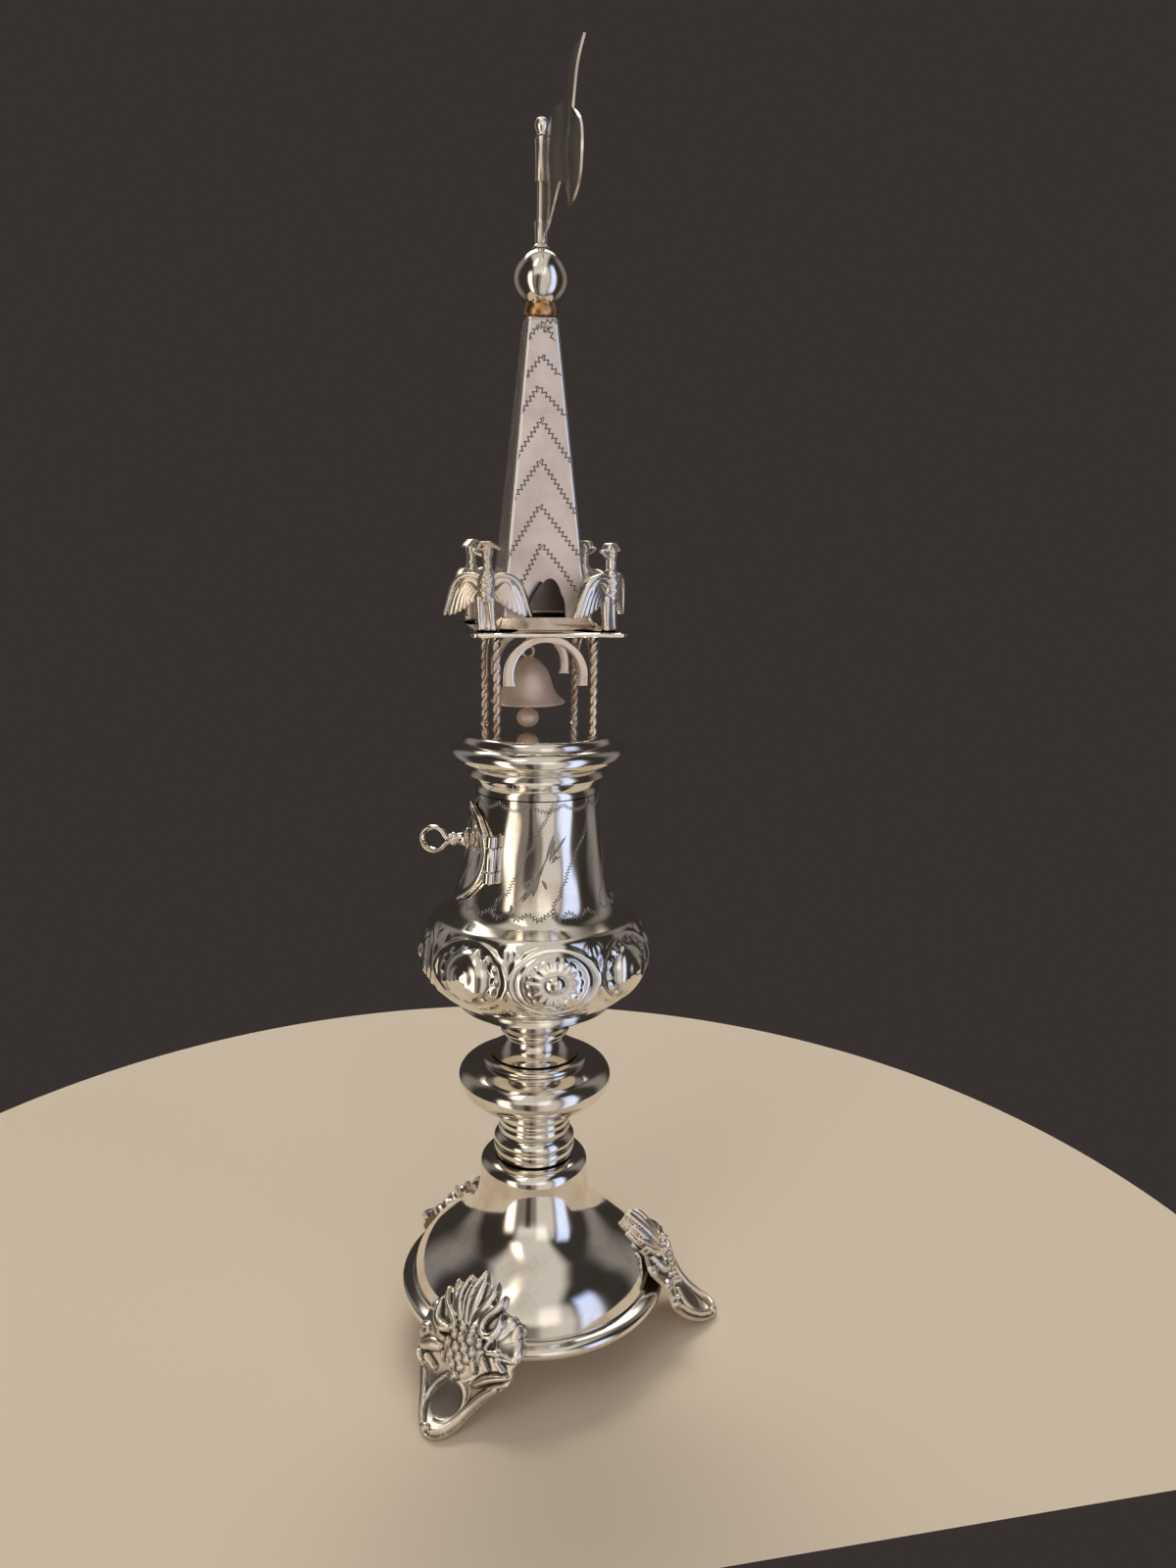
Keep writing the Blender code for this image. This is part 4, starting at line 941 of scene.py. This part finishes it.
# Brass run on as solder and softly rubbed: yellow-brown in clouds and lumps of 2 mm, half bright.
brass, tree, shader = blank_metal("brass_solder")
add = partial(node, tree)
shader.inputs["Roughness"].default_value = 0.28
place = add("TexCoord", out="Object")
cloud = add("TexNoise", {"Vector": place, "Scale": 500.0, "Detail": 5.0, "Roughness": 0.6})
patches = add("MapRange", [cloud, 0.38, 0.62], **EASED)
tint = add("Mix", {0: patches, 6: colour("#b98a5a"), 7: colour("#e8c793")}, **MIXED)
lumpy = add("Bump", {"Height": cloud, "Strength": 0.5, "Distance": 0.0004})
tree.links.new(tint, shader.inputs["Base Color"])
tree.links.new(lumpy, shader.inputs["Normal"])
turned_piece("ball_collar", flowing([
    (0, 232.1), (3.0, 232.1), (3.45, 232.4), (3.6, 233.2), (3.4, 234.3), (3.0, 235.0), (2.4, 235.3),
    (0, 235.3),
]), brass, "brass", 64)

tall = np.linspace(0, math.pi, 72)[:, None]
spin = np.arange(96) * FULL / 96
direction = np.stack([np.sin(tall) * np.cos(spin), np.sin(tall) * np.sin(spin), np.cos(tall) + 0 * spin], -1)
dents = 0
for toward, depth, wide in (
    ((-0.8, -0.5, 0.5), 0.22, 0.45), ((0.7, -0.6, 0.35), 0.18, 0.4), ((0.1, -0.9, -0.45), 0.15, 0.35),
    ((0.2, 0.9, 0.3), 0.2, 0.4),
):
    away = np.linalg.norm(direction - np.array(toward) / np.linalg.norm(toward), axis=-1)
    dents = dents + depth * ridge(away, wide)
ball = direction * (5.8 - dents)[..., None] + (0, 0, 239.6)
piece("ball", *gathered(ball), polished)

# Handled less than the body, the rod and the flag are left half bright.
half_bright = silver("half_bright_silver", 0.2, 0.32, "#f8f4ee", "#e6ded2")
turned_piece("rod", flowing([
    (0, 245.2), (1.9, 245.2), (1.8, 245.6), (1.35, 246.0), (0.95, 246.8), (0.9, 250.0), (0.88, 258.0),
    (0.9, 265.9), (0.9, 265.9), (0, 265.9),
]), half_bright, around=48)
turned_piece("rod_knob", flowing([
    (0, 266.0), (1.0, 266.0), (1.2, 266.25), (1.0, 266.6), (1.25, 266.9), (1.5, 267.6), (1.45, 268.6),
    (1.1, 269.2), (0.5, 269.3), (0, 269.3),
]), half_bright, around=48)

# ---------------------------------------------------------------- flag
# A swallow-tailed pennant of thin sheet with wavy edges, soldered to two short tubes that turn freely
# on the rod. It rests pointing to the front.

SLEEVES = ((246.2, 250.4), (257.6, 265.6))


def inside_outline(across, up, outline):
    """How far each point is inside a closed outline: the distance to its nearest side, below zero outside.

    A point is inside where a level ray from it crosses an odd number of sides.
    """
    closed = np.vstack([outline, outline[:1]])
    nearest, _, _ = traced(across, up, [closed])
    odd = np.zeros(np.shape(across), bool)
    for start, end in zip(closed[:-1], closed[1:]):
        crosses = (start[1] > up) != (end[1] > up)
        at = start[0] + (up - start[1]) * (end[0] - start[0]) / (end[1] - start[1] + 1e-12)
        odd ^= crosses & (across < at)
    return np.where(odd, 1, -1) * np.abs(nearest)


flag_outline = flowing([
    (1.2, 265.2), (1.2, 265.2), (8.0, 265.6), (15.8, 266.8), (19.4, 265.6), (23.0, 266.4), (30.0, 267.4),
    (41.0, 270.15), (41.0, 270.15), (37.4, 265.6), (33.8, 261.1), (33.8, 261.1), (36.6, 259.6), (39.8, 257.2),
    (41.2, 253.4), (40.4, 250.0), (38.2, 247.4), (35.4, 245.8), (32.0, 245.6), (27.4, 247.4), (21.4, 253.2),
    (18.6, 252.2), (13.6, 247.2), (6.0, 247.4), (1.2, 246.4), (1.2, 246.4),
], 2)
across, up = flat_grid((1.09, 41.7), (245.23, 270.5), 0.3)
field = inside_outline(across, up, flag_outline)
keep = cells_inside(field)
across, up = drawn_to_edge(field, keep, across, up)
across, up = np.minimum(across, 41.25), np.minimum(up, 270.18)
wave = 0.45 * np.sin(across * 0.32) * np.clip(across / 12, 0, 1) + 0.2 * np.sin(up * 0.45 + across * 0.1)
wave *= np.clip(across / 6, 0, 1)
flag_skins = np.stack([np.stack([wave + side, -across, up], -1) for side in (-0.22, 0.22)])
flag_parts, flag_faces = [flag_skins.reshape(-1, 3)], [closed_skin(keep)]
for low, high in SLEEVES:
    tube = turned(np.array([
        (1.03, low), (1.2, low), (1.32, low + 0.15), (1.28, (2 * low + high) / 3), (1.5, high - 0.3),
        (1.35, high), (1.03, high),
    ]), 40)
    flag_faces.append(grid_faces(7, 40, close_rows=True, first=sum(map(len, flag_parts))))
    flag_parts.append(tube.reshape(-1, 3))
piece("flag", np.vstack(flag_parts), np.vstack(flag_faces), half_bright, body="flag")

# ---------------------------------------------------------------- birds
# Four cast birds stand on the plate's corners facing outward, wings half spread and bent back, with the
# head turned aside under a drooping crest. Cast in one mould, toned in the hollows, rubbed on the feathers.

# Cast sterling, never polished smooth: a soft sheen, with nearly black tarnish in every hollow.
cast = silver("cast_silver", 0.24, 0.40, "#f6f0e6", "#ddd0bd", hollows=0.85)


def limb(across, up, points, radii):
    """A round limb along a bent line whose radius changes from point to point.

    Its field is radius less distance, and its height is the root of radius squared less distance squared.
    """
    field = np.full(np.shape(across), -99.0)
    height = np.zeros(np.shape(across))
    for start, end, first, last in zip(points[:-1], points[1:], radii[:-1], radii[1:]):
        step = np.subtract(end, start)
        part = np.clip(((across - start[0]) * step[0] + (up - start[1]) * step[1]) / (step @ step), 0, 1)
        away = np.hypot(across - start[0] - part * step[0], up - start[1] - part * step[1])
        radius = first + (last - first) * part
        field = np.maximum(field, radius - away)
        height = np.maximum(height, np.sqrt(np.clip(radius ** 2 - away ** 2, 0, None)))
    return field, height


def joined(*parts):
    """Several (field, height) pairs as one: the larger of each."""
    return np.maximum.reduce([part[0] for part in parts]), np.maximum.reduce([part[1] for part in parts])


def raised(part, height):
    """A part lifted to stand on a higher ground, only inside itself."""
    return part[0], np.where(part[0] > 0, part[1] + height, 0)


def tapered(across, up, points, radii, height=0.0, flat=1.0):
    """A limb along a smooth line near a few points, its radius changing evenly between the radii given.

    Flat is the share of its own height that it keeps, and height is the ground it stands on.
    """
    line = flowing(points, 3)
    share = np.linspace(0, len(radii) - 1, len(line))
    limb_field, limb_height = limb(across, up, line, np.interp(share, range(len(radii)), radii))
    return raised((limb_field, flat * limb_height), height)


across, up = flat_grid((-9.8, 9.8), (-0.1, 18.1), 0.125)
at = (across, up)
bird_parts = [
    tapered(*at, [(-1.5, 0.5), (2.0, 0.5)], [0.5, 0.5]),
    tapered(*at, [(0.1, 0.6), (0.1, 3.2), (0.0, 6.5)], [1.2, 0.8, 1.2], 0.0, 0.5),
    tapered(*at, [(-1.1, 0.5), (-1.2, 1.8), (-1.3, 4.2), (-1.35, 6.6)], [0.75, 0.62, 0.85, 1.1], 0.15),
    tapered(*at, [(1.5, 0.5), (1.35, 1.8), (1.05, 4.2), (0.95, 6.4)], [0.75, 0.6, 0.8, 1.0], 0.15),
    tapered(*at, [(0.05, 6.6), (0.0, 8.4), (0.1, 10.0), (0.15, 11.6)], [1.1, 1.75, 1.8, 1.2], 0.3),
    tapered(*at, [(0.15, 11.2), (0.3, 12.6), (0.2, 14.0), (0.2, 15.3)], [1.2, 0.88, 0.8, 1.0], 0.3),
    tapered(*at, [(0.25, 15.4), (0.2, 16.2)], [1.05, 1.15], 0.25),
    tapered(*at, [(-0.5, 16.2), (-1.8, 16.3), (-3.0, 16.2)], [0.45, 0.3, 0.16], 0.2),
    tapered(*at, [(-0.6, 15.2), (-1.3, 15.2), (-2.2, 15.5), (-3.0, 16.1)], [0.5, 0.36, 0.26, 0.15], 0.1),
    tapered(
        *at, [(-1.7, 16.4), (-1.1, 17.5), (0.3, 17.7), (1.4, 17.0), (2.8, 16.3)],
        [0.36, 0.45, 0.45, 0.42, 0.24], 0.75,
    ),
]
for side in (-1, 1):
    turned_out = np.array([side, 1.0])
    for share in np.linspace(0, 1, 6):
        root, end = (4.4 - 2.3 * share, 9.9 - 2.4 * share), (7.7 - 5.2 * share, 3.4 + 3.0 * share ** 1.5)
        elbow = (6.3 - 3.4 * share, 7.9 - 1.7 * share)
        feather = np.array([root, elbow, end]) * turned_out
        bird_parts.append(tapered(*at, feather, [0.6, 0.72, 0.5], 0.12 + 0.06 * share, 0.55))
    covert = np.array([(1.9, 9.6), (3.1, 10.3), (4.4, 10.2), (5.1, 9.2), (5.3, 8.0)]) * turned_out
    bird_parts.append(tapered(*at, covert, [0.7, 0.5, 0.36, 0.2], 0.42, 0.6))
    leading = [(1.2, 10.4), (2.6, 11.3), (4.7, 11.1), (6.5, 9.9), (7.6, 7.5), (8.2, 5.2), (8.9, 3.1)]
    bird_parts.append(tapered(*at, leading * turned_out, [0.6, 0.55, 0.5, 0.46, 0.42, 0.38, 0.28], 0.55))
field, height = joined(*bird_parts)
chest = smooth(1.75 - np.abs(across - 0.15), 0.5) * smooth(up - 6.6, 0.8) * smooth(15.0 - up, 0.8)
# Plumes overlap like tiles, each row half a plume aside of the row below it.
PLUME_WIDE, PLUME_TALL = 0.75, 0.8
rows_up = up / PLUME_TALL
tiled = across / PLUME_WIDE + 0.5 * (np.floor(rows_up) % 2)
plumes = np.abs(np.sin(math.pi * tiled)) * (1 - (rows_up % 1.0)) ** 0.7
height = height + chest * 0.2 * (plumes - 0.3) - 0.2 * ridge(np.hypot(across + 0.15, up - 16.1) - 0.3, 0.12)
height = blurred(height, 1)
keep = cells_inside(field)
across, up = drawn_to_edge(field, keep, across, up)
across, up = np.clip(across, -9.7, 9.7), np.clip(up, 0.02, 17.85)
swept_back = 0.035 * across ** 2
bird_skins = np.stack([
    np.stack([across, -0.85 * height - 0.25 + swept_back, up], -1),
    np.stack([across, 0.55 * height + 0.25 + swept_back, up], -1),
])
hollow = np.clip(blurred(height, 8) - height, 0, 1) * 1.2
hollow = np.where(field > 0.3, hollow, 0.3 * hollow)
HEADINGS = {"front_left": -103.0, "front_right": -45.0, "back_right": 45.0, "back_left": 135.0}
BIRD_REACH, BIRD_FOOT = 18.0 / math.sqrt(2), PLATE + 1.1
for corner, (x, y) in CORNERS.items():
    standing = (x * BIRD_REACH, y * BIRD_REACH, BIRD_FOOT)
    bird = spun(bird_skins, math.radians(HEADINGS[corner] + 90)) + standing
    shade = np.concatenate([hollow.ravel(), hollow.ravel()])
    piece("bird_" + corner, bird, closed_skin(keep), cast, "cast_silver", sharp=60, hollow=shade)

# ---------------------------------------------------------------- feet
# Three cast feet wrap over the base's rim and run down to rounded toes. Each is a bunch of grapes under a
# flame of leaves between two forked horns, with a shell fan, drops and ribs beside it, and a flat oval
# in a thick border on the toe. Cast silver, darkened in the hollows, high points rubbed bright.

FEET = {"foot_front_left": -130.0, "foot_right": -10.0, "foot_back_left": 110.0}
foot_line = evenly(flowing([
    (18.6, 28.7), (21.6, 27.3), (25.1, 25.2), (28.4, 22.0), (30.9, 17.9), (32.6, 15.6), (33.8, 12.6),
    (35.0, 8.9), (37.6, 5.4), (41.0, 3.1), (43.6, 2.2), (46.0, 1.7),
], 3), 400)
foot_normal = outward(foot_line)
foot_run = np.append(0, np.cumsum(np.linalg.norm(np.diff(foot_line, axis=0), axis=1)))

# The foot is drawn flat: across to the right of its midline, and along it down from the flame's tips.
across, up = flat_grid((-11.2, 16.4), (3.6, foot_run[-1]), 0.18)
at = (across, up)
foot_outline = flowing([
    (0.6, 8.0), (-3.0, 10.4), (-6.0, 12.0), (-8.0, 13.6), (-9.6, 15.6), (-9.8, 18.4), (-10.2, 20.8),
    (-9.4, 23.0), (-9.9, 25.4), (-8.4, 27.6), (-6.9, 30.8), (-4.6, 35.2), (-2.2, 38.4), (0.0, 40.0),
    (2.4, 39.9), (4.5, 38.3), (6.1, 35.6), (7.4, 32.4), (9.2, 29.4), (11.7, 27.2), (14.0, 25.2), (14.6, 23.2),
    (14.0, 21.6), (15.2, 20.2), (15.9, 18.8), (15.0, 17.2), (13.4, 15.2), (11.2, 13.2), (8.8, 12.6),
    (6.6, 10.4), (4.0, 9.0), (2.2, 8.0),
], 2)
body = (inside_outline(*at, foot_outline), np.zeros(across.shape))
parts = [body]
# Flame leaves, from the left: each a thin or broad blade swept up to a point.
for line, radii, tall, flat in (
    ([(-2.0, 14.6), (-3.6, 11.8), (-4.6, 8.4)], [0.9, 0.85, 0.2], 0.55, 0.8),
    ([(-0.6, 15.6), (-2.1, 12.8), (-2.5, 9.9), (-1.6, 6.2)], [0.6, 0.7, 0.65, 0.2], 0.7, 0.9),
    ([(0.3, 16.0), (-0.9, 12.8), (-1.1, 9.8), (-0.3, 6.8)], [0.4, 0.5, 0.45, 0.15], 0.6, 1.0),
    ([(1.1, 15.8), (0.3, 12.6), (0.1, 9.4), (0.9, 6.6), (1.6, 4.2)], [0.4, 0.5, 0.5, 0.45, 0.15], 1.1, 1.0),
    ([(2.1, 15.4), (1.7, 12.0), (1.9, 9.0), (2.1, 6.6), (1.7, 4.3)], [1.0, 1.15, 1.1, 0.8, 0.15], 0.8, 0.6),
    ([(3.0, 14.6), (4.2, 11.8), (5.4, 9.2), (5.1, 6.2)], [0.9, 0.95, 0.8, 0.15], 0.75, 0.8),
    ([(3.2, 15.2), (4.6, 13.6), (6.0, 11.8)], [1.2, 1.4, 0.9], 0.8, 0.6),
):
    parts.append(tapered(*at, line, radii, tall, flat))
# Horns: two blunt forks open upwards at the grapes' shoulders, each prong running out to a point.
for line, radii in (
    ([(-2.8, 18.2), (-5.0, 18.3), (-6.9, 16.8), (-6.8, 13.2)], [0.8, 1.2, 1.0, 0.15]),
    ([(-2.8, 18.2), (-1.3, 16.8), (-2.9, 15.2), (-5.2, 13.4), (-6.0, 10.6)], [0.75, 0.75, 0.8, 0.75, 0.15]),
    ([(6.4, 17.2), (4.7, 16.2), (5.3, 13.5), (7.6, 11.6), (8.0, 8.8)], [0.75, 0.85, 0.95, 0.85, 0.15]),
    ([(6.4, 17.2), (8.2, 16.8), (8.9, 14.8), (8.5, 12.4)], [0.75, 0.9, 0.75, 0.15]),
    ([(8.4, 15.4), (7.9, 17.4), (7.2, 19.4)], [0.5, 0.7, 0.4]),
):
    parts.append(tapered(*at, line, radii, 1.0))
# The bunch: a mound with oval grapes on it, packed in leaning rows.
swell = np.hypot((across - 1.7) / 5.0, (up - 21.0) / 6.6)
parts.append((1 - swell, 0.85 * cap(swell, 1.0)))
for x, y in (
    (0.6, 16.7), (3.1, 16.7), (-0.9, 18.6), (0.9, 18.9), (3.1, 18.6), (5.6, 18.8), (-2.0, 20.6), (0.1, 21.0),
    (2.2, 20.7), (4.4, 20.9), (-0.9, 22.7), (1.3, 22.9), (3.3, 22.6), (0.0, 24.7), (2.1, 24.7), (1.1, 26.8),
):
    grape = np.hypot((across - x - 0.15 * (up - y)) / 0.86, (up - y) / 1.12)
    parts.append(raised((1 - grape, 0.9 * cap(grape, 1.0)), 0.9))
# On the right a shell of rounded lobes, then three drops and a long rib; on the left a curl and a
# smooth lobe over three drops.
for line, radii, tall, flat in (
    ([(9.2, 17.2), (10.6, 14.4)], [0.6, 1.5], 0.35, 0.4), ([(9.6, 17.8), (12.6, 16.0)], [0.6, 1.5], 0.3, 0.4),
    ([(9.8, 18.6), (14.0, 18.2)], [0.6, 1.6], 0.35, 0.4),
    ([(9.0, 19.8), (12.4, 19.9), (14.6, 19.8)], [0.5, 0.7, 0.4], 0.5, 0.8),
    ([(8.2, 19.9), (10.2, 19.4)], [0.6, 0.5], 1.0, 0.8),
    ([(4.9, 22.8), (5.6, 24.6)], [0.7, 0.5], 1.0, 1.0), ([(7.3, 21.6), (8.6, 23.3)], [0.75, 0.55], 1.0, 1.0),
    ([(10.7, 20.9), (12.4, 22.2)], [0.75, 0.6], 0.9, 1.0),
    ([(6.4, 27.2), (8.6, 25.4), (11.0, 24.2), (13.6, 23.4)], [0.5, 0.9, 0.8, 0.4], 0.75, 0.9),
    ([(9.4, 26.9), (11.6, 25.9), (13.2, 25.2)], [0.3, 0.45, 0.3], 0.35, 1.0),
    ([(-9.4, 19.6), (-8.2, 19.3), (-7.6, 20.4), (-8.6, 21.2)], [0.5, 0.6, 0.55, 0.4], 0.4, 1.0),
    ([(-8.6, 23.6), (-6.6, 22.7), (-4.4, 22.6)], [0.9, 1.45, 1.0], 0.3, 0.45),
    ([(-5.1, 19.9), (-3.4, 20.4)], [0.7, 0.7], 1.0, 1.0),
    ([(-2.9, 23.4), (-2.7, 24.6)], [0.5, 0.45], 0.9, 1.0),
    ([(-9.2, 25.2), (-8.0, 26.8)], [0.65, 0.5], 0.6, 1.0),
    ([(-6.8, 25.4), (-4.3, 27.0)], [0.7, 0.6], 0.9, 1.0),
    ([(-8.4, 15.0), (-7.6, 15.9), (-9.4, 16.0)], [0.3, 0.7, 0.3], 0.3, 0.8),
):
    parts.append(tapered(*at, line, radii, tall, flat))
# The toe: a thick smooth border on the right, a thin one on the left, and a rim round the flat oval.
for line, radii, tall in (
    ([(11.2, 26.7), (8.6, 28.9), (6.6, 32.1), (5.3, 35.2), (3.7, 37.8), (2.0, 38.8), (0.9, 38.9)],
     [0.6, 0.9, 0.9, 0.9, 0.85, 0.8, 0.5], 0.5),
    ([(-6.6, 28.0), (-5.6, 30.4), (-4.6, 32.9), (-3.4, 35.4), (-1.6, 37.8)], [0.35, 0.45, 0.5, 0.55, 0.5],
     0.7),
    ([(-0.9, 27.6), (-2.8, 29.6), (-3.8, 32.2), (-3.3, 34.6), (-2.2, 36.8)], [0.5, 0.6, 0.55, 0.45, 0.35],
     0.65),
    ([(4.7, 27.6), (5.8, 28.9), (5.6, 30.8)], [0.2, 0.35, 0.2], 0.5),
    ([(-0.5, 38.5), (-0.3, 38.7)], [0.8, 0.75], 0.45),
):
    parts.append(tapered(*at, line, radii, tall))
field, height = joined(*parts)
oval = np.hypot((across - 0.95) / 3.75, (up - 32.0) / 3.9)
toe_rim = 0.3 * ridge((oval - 1.04) * 3.8, 0.3) * (across > 0)
height = np.where(oval < 1.0, 0.12 - 0.1 * oval ** 2, height) + toe_rim
height = blurred(height, 2)
keep = cells_inside(field)
across, up = drawn_to_edge(field, keep, across, up)


def on_foot(across, up, out):
    """The point of a foot at a distance across and along it, out from its midline, before the foot is turned.

    On the dome it is wound round the centre line by the angle across / radius; at the toe it lies flat.
    """
    reach = np.interp(up, foot_run, foot_line[:, 0]) + out * np.interp(up, foot_run, foot_normal[:, 0])
    lift = np.interp(up, foot_run, foot_line[:, 1]) + out * np.interp(up, foot_run, foot_normal[:, 1])
    turn = across / np.maximum(reach, 5)
    flatness = smooth(up - 17.5, 7.0)
    x = (1 - flatness) * reach * np.cos(turn) + flatness * reach
    y = (1 - flatness) * reach * np.sin(turn) + flatness * across
    return np.stack([x, y, np.maximum(lift, 0.04)], -1)


hollow = np.clip(blurred(height, 9) - height, 0, 1)
hollow = np.where(oval < 1.0, 0.16, hollow)
# The relief's ground is set a little into the dome, and the back lies under it.
GROUND, BACK = -0.5, -1.5
skins = np.stack([on_foot(across, up, height + GROUND), on_foot(across, up, BACK + 0 * height)])
shade = np.concatenate([hollow.ravel(), 0 * hollow.ravel()])
for name, degrees in FEET.items():
    turned_foot = spun(skins, math.radians(degrees))
    piece(name, turned_foot, closed_skin(keep), cast, "cast_silver", sharp=60, hollow=shade)

# ---------------------------------------------------------------- stage
# A camera a forearm's length away looks down a little on the tower, which stands on a plain pale table
# top with a straight edge in front. The light is soft, and comes from the room all round.

EYE = np.array([-41.9, -251.8, 191.4]) * MM + CENTRE
heading, dip, roll = math.radians(12.0), math.radians(12.5), math.radians(0.99)
ahead = Vector((math.sin(heading) * math.cos(dip), math.cos(heading) * math.cos(dip), -math.sin(dip)))
level = Vector((math.cos(heading), -math.sin(heading), 0.0))
upright = level.cross(ahead)
right = math.cos(roll) * level + math.sin(roll) * upright
top = math.cos(roll) * upright - math.sin(roll) * level
lens = bpy.data.cameras.new("camera")
lens.sensor_fit = "VERTICAL"
lens.sensor_height = 36.0
lens.lens = 27.0
lens.clip_start = 0.01
camera = bpy.data.objects.new("camera", lens)
camera.matrix_world = Matrix([(*axes, at) for *axes, at in zip(right, top, -ahead, EYE)] + [(0, 0, 0, 1)])
bpy.context.collection.objects.link(camera)
bpy.context.scene.camera = camera

TABLE_REACH, TABLE_MIDDLE, OVER_HALF = 0.2, (-0.017, -0.008), 0.36
turn = np.linspace(-OVER_HALF, math.pi + OVER_HALF, 160)
rim_x, rim_y = TABLE_MIDDLE[0] + TABLE_REACH * np.cos(turn), TABLE_MIDDLE[1] + TABLE_REACH * np.sin(turn)
disc = bpy.data.meshes.new("floor")
disc.from_pydata(np.stack([rim_x, rim_y, 0 * turn], 1), [], [list(range(len(turn)))])
floor = bpy.data.objects.new("floor", disc)
bpy.context.collection.objects.link(floor)
paint = bpy.data.materials.new("floor")
paint.use_nodes = True
paint.node_tree.nodes["Principled BSDF"].inputs["Base Color"].default_value = colour("#f0e3cf")
paint.node_tree.nodes["Principled BSDF"].inputs["Roughness"].default_value = 0.8
disc.materials.append(paint)

# The room is dim all round and pale overhead on the viewer's side, with a strong light high up behind
# the tower. Warm lamps stand on the left, a cool window on the right, and the viewer is a dark shape.
room = bpy.data.worlds.new("room")
bpy.context.scene.world = room
room.use_nodes = True
add = partial(node, room.node_tree)
gaze = add("TexCoord", out="Generated")
gaze_x, gaze_y, gaze_z = [add("SeparateXYZ", [gaze], out=axis) for axis in "XYZ"]
DEGREE = 180 / math.pi
toward_viewer = add("Math", [gaze_y, -1.0], operation="MULTIPLY")
side = add("Math", [gaze_x, toward_viewer], operation="ARCTAN2")
side = add("Math", [side, DEGREE, 9.5], operation="MULTIPLY_ADD")
rise = add("Math", [add("Math", [gaze_z], operation="ARCSINE"), DEGREE], operation="MULTIPLY")


def window(middle, half, soft, value):
    """A smooth step up and down again of an angle in degrees, half to each side of its middle."""
    away = add("Math", [add("Math", [value, middle], operation="SUBTRACT")], operation="ABSOLUTE")
    return add("MapRange", [away, half + soft, half - soft], **EASED)


aside = add("VectorMath", [gaze, (0.986, -0.165, 0.0)], operation="DOT_PRODUCT", out="Value")
aside = add("Math", [add("Math", [aside, 0.04], operation="ADD")], operation="ABSOLUTE")
overhead = [
    add("MapRange", [value, low, high], **EASED)
    for value, low, high in ((aside, 0.52, 0.34), (rise, -5.0, 17.0), (gaze_y, 0.6, 0.0))
]
behind = [add("MapRange", [gaze_y, 0.36, 0.6], **EASED), window(62, 12, 8, rise)]
lights = [([1.0], "#37322f", 1.0), (overhead, "#d6cfc5", 0.85), (behind, "#fff6ea", 10.0)]
for middle, half, soft, low, high, blur, code, strength in (
    (8, 60, 10, -75, 20, 14, "#a3958a", 0.5), (-44, 8, 5, -55, 16, 10, "#fff0dc", 1.9),
    (-33, 9, 6, 42, 68, 8, "#fff3e4", 1.7), (22, 16, 5, -62, 34, 9, "#d8d2cb", 0.6),
    (54, 11, 5, -48, 38, 8, "#bccdf2", 1.3), (118, 14, 10, -40, 50, 14, "#c9c4bd", 0.32),
    (-118, 14, 10, -40, 50, 14, "#c9c4bd", 0.32),
):
    level_window = window((low + high) / 2, (high - low) / 2, blur, rise)
    lights.append(([window(middle, half, soft, side), level_window], code, strength))
total = (0.0, 0.0, 0.0)
for shares, code, strength in lights:
    share = shares[0]
    for other in shares[1:]:
        share = add("Math", [share, other], operation="MULTIPLY")
    tint = np.array(colour(code)[:3]) * strength
    amount = add("VectorMath", {0: tint.tolist(), "Scale": share}, operation="SCALE")
    total = add("VectorMath", [total, amount], operation="ADD")
viewer = [window(-10, 5, 3, side), add("MapRange", [rise, 12.0, 2.0], **EASED)]
shade = add("Math", [add("Math", viewer, operation="MULTIPLY"), -0.75, 1.0], operation="MULTIPLY_ADD")
seen = add("VectorMath", {0: total, "Scale": shade}, operation="SCALE")
room.node_tree.links.new(seen, room.node_tree.nodes["Background"].inputs["Color"])
bpy.context.scene.view_settings.view_transform = "Standard"
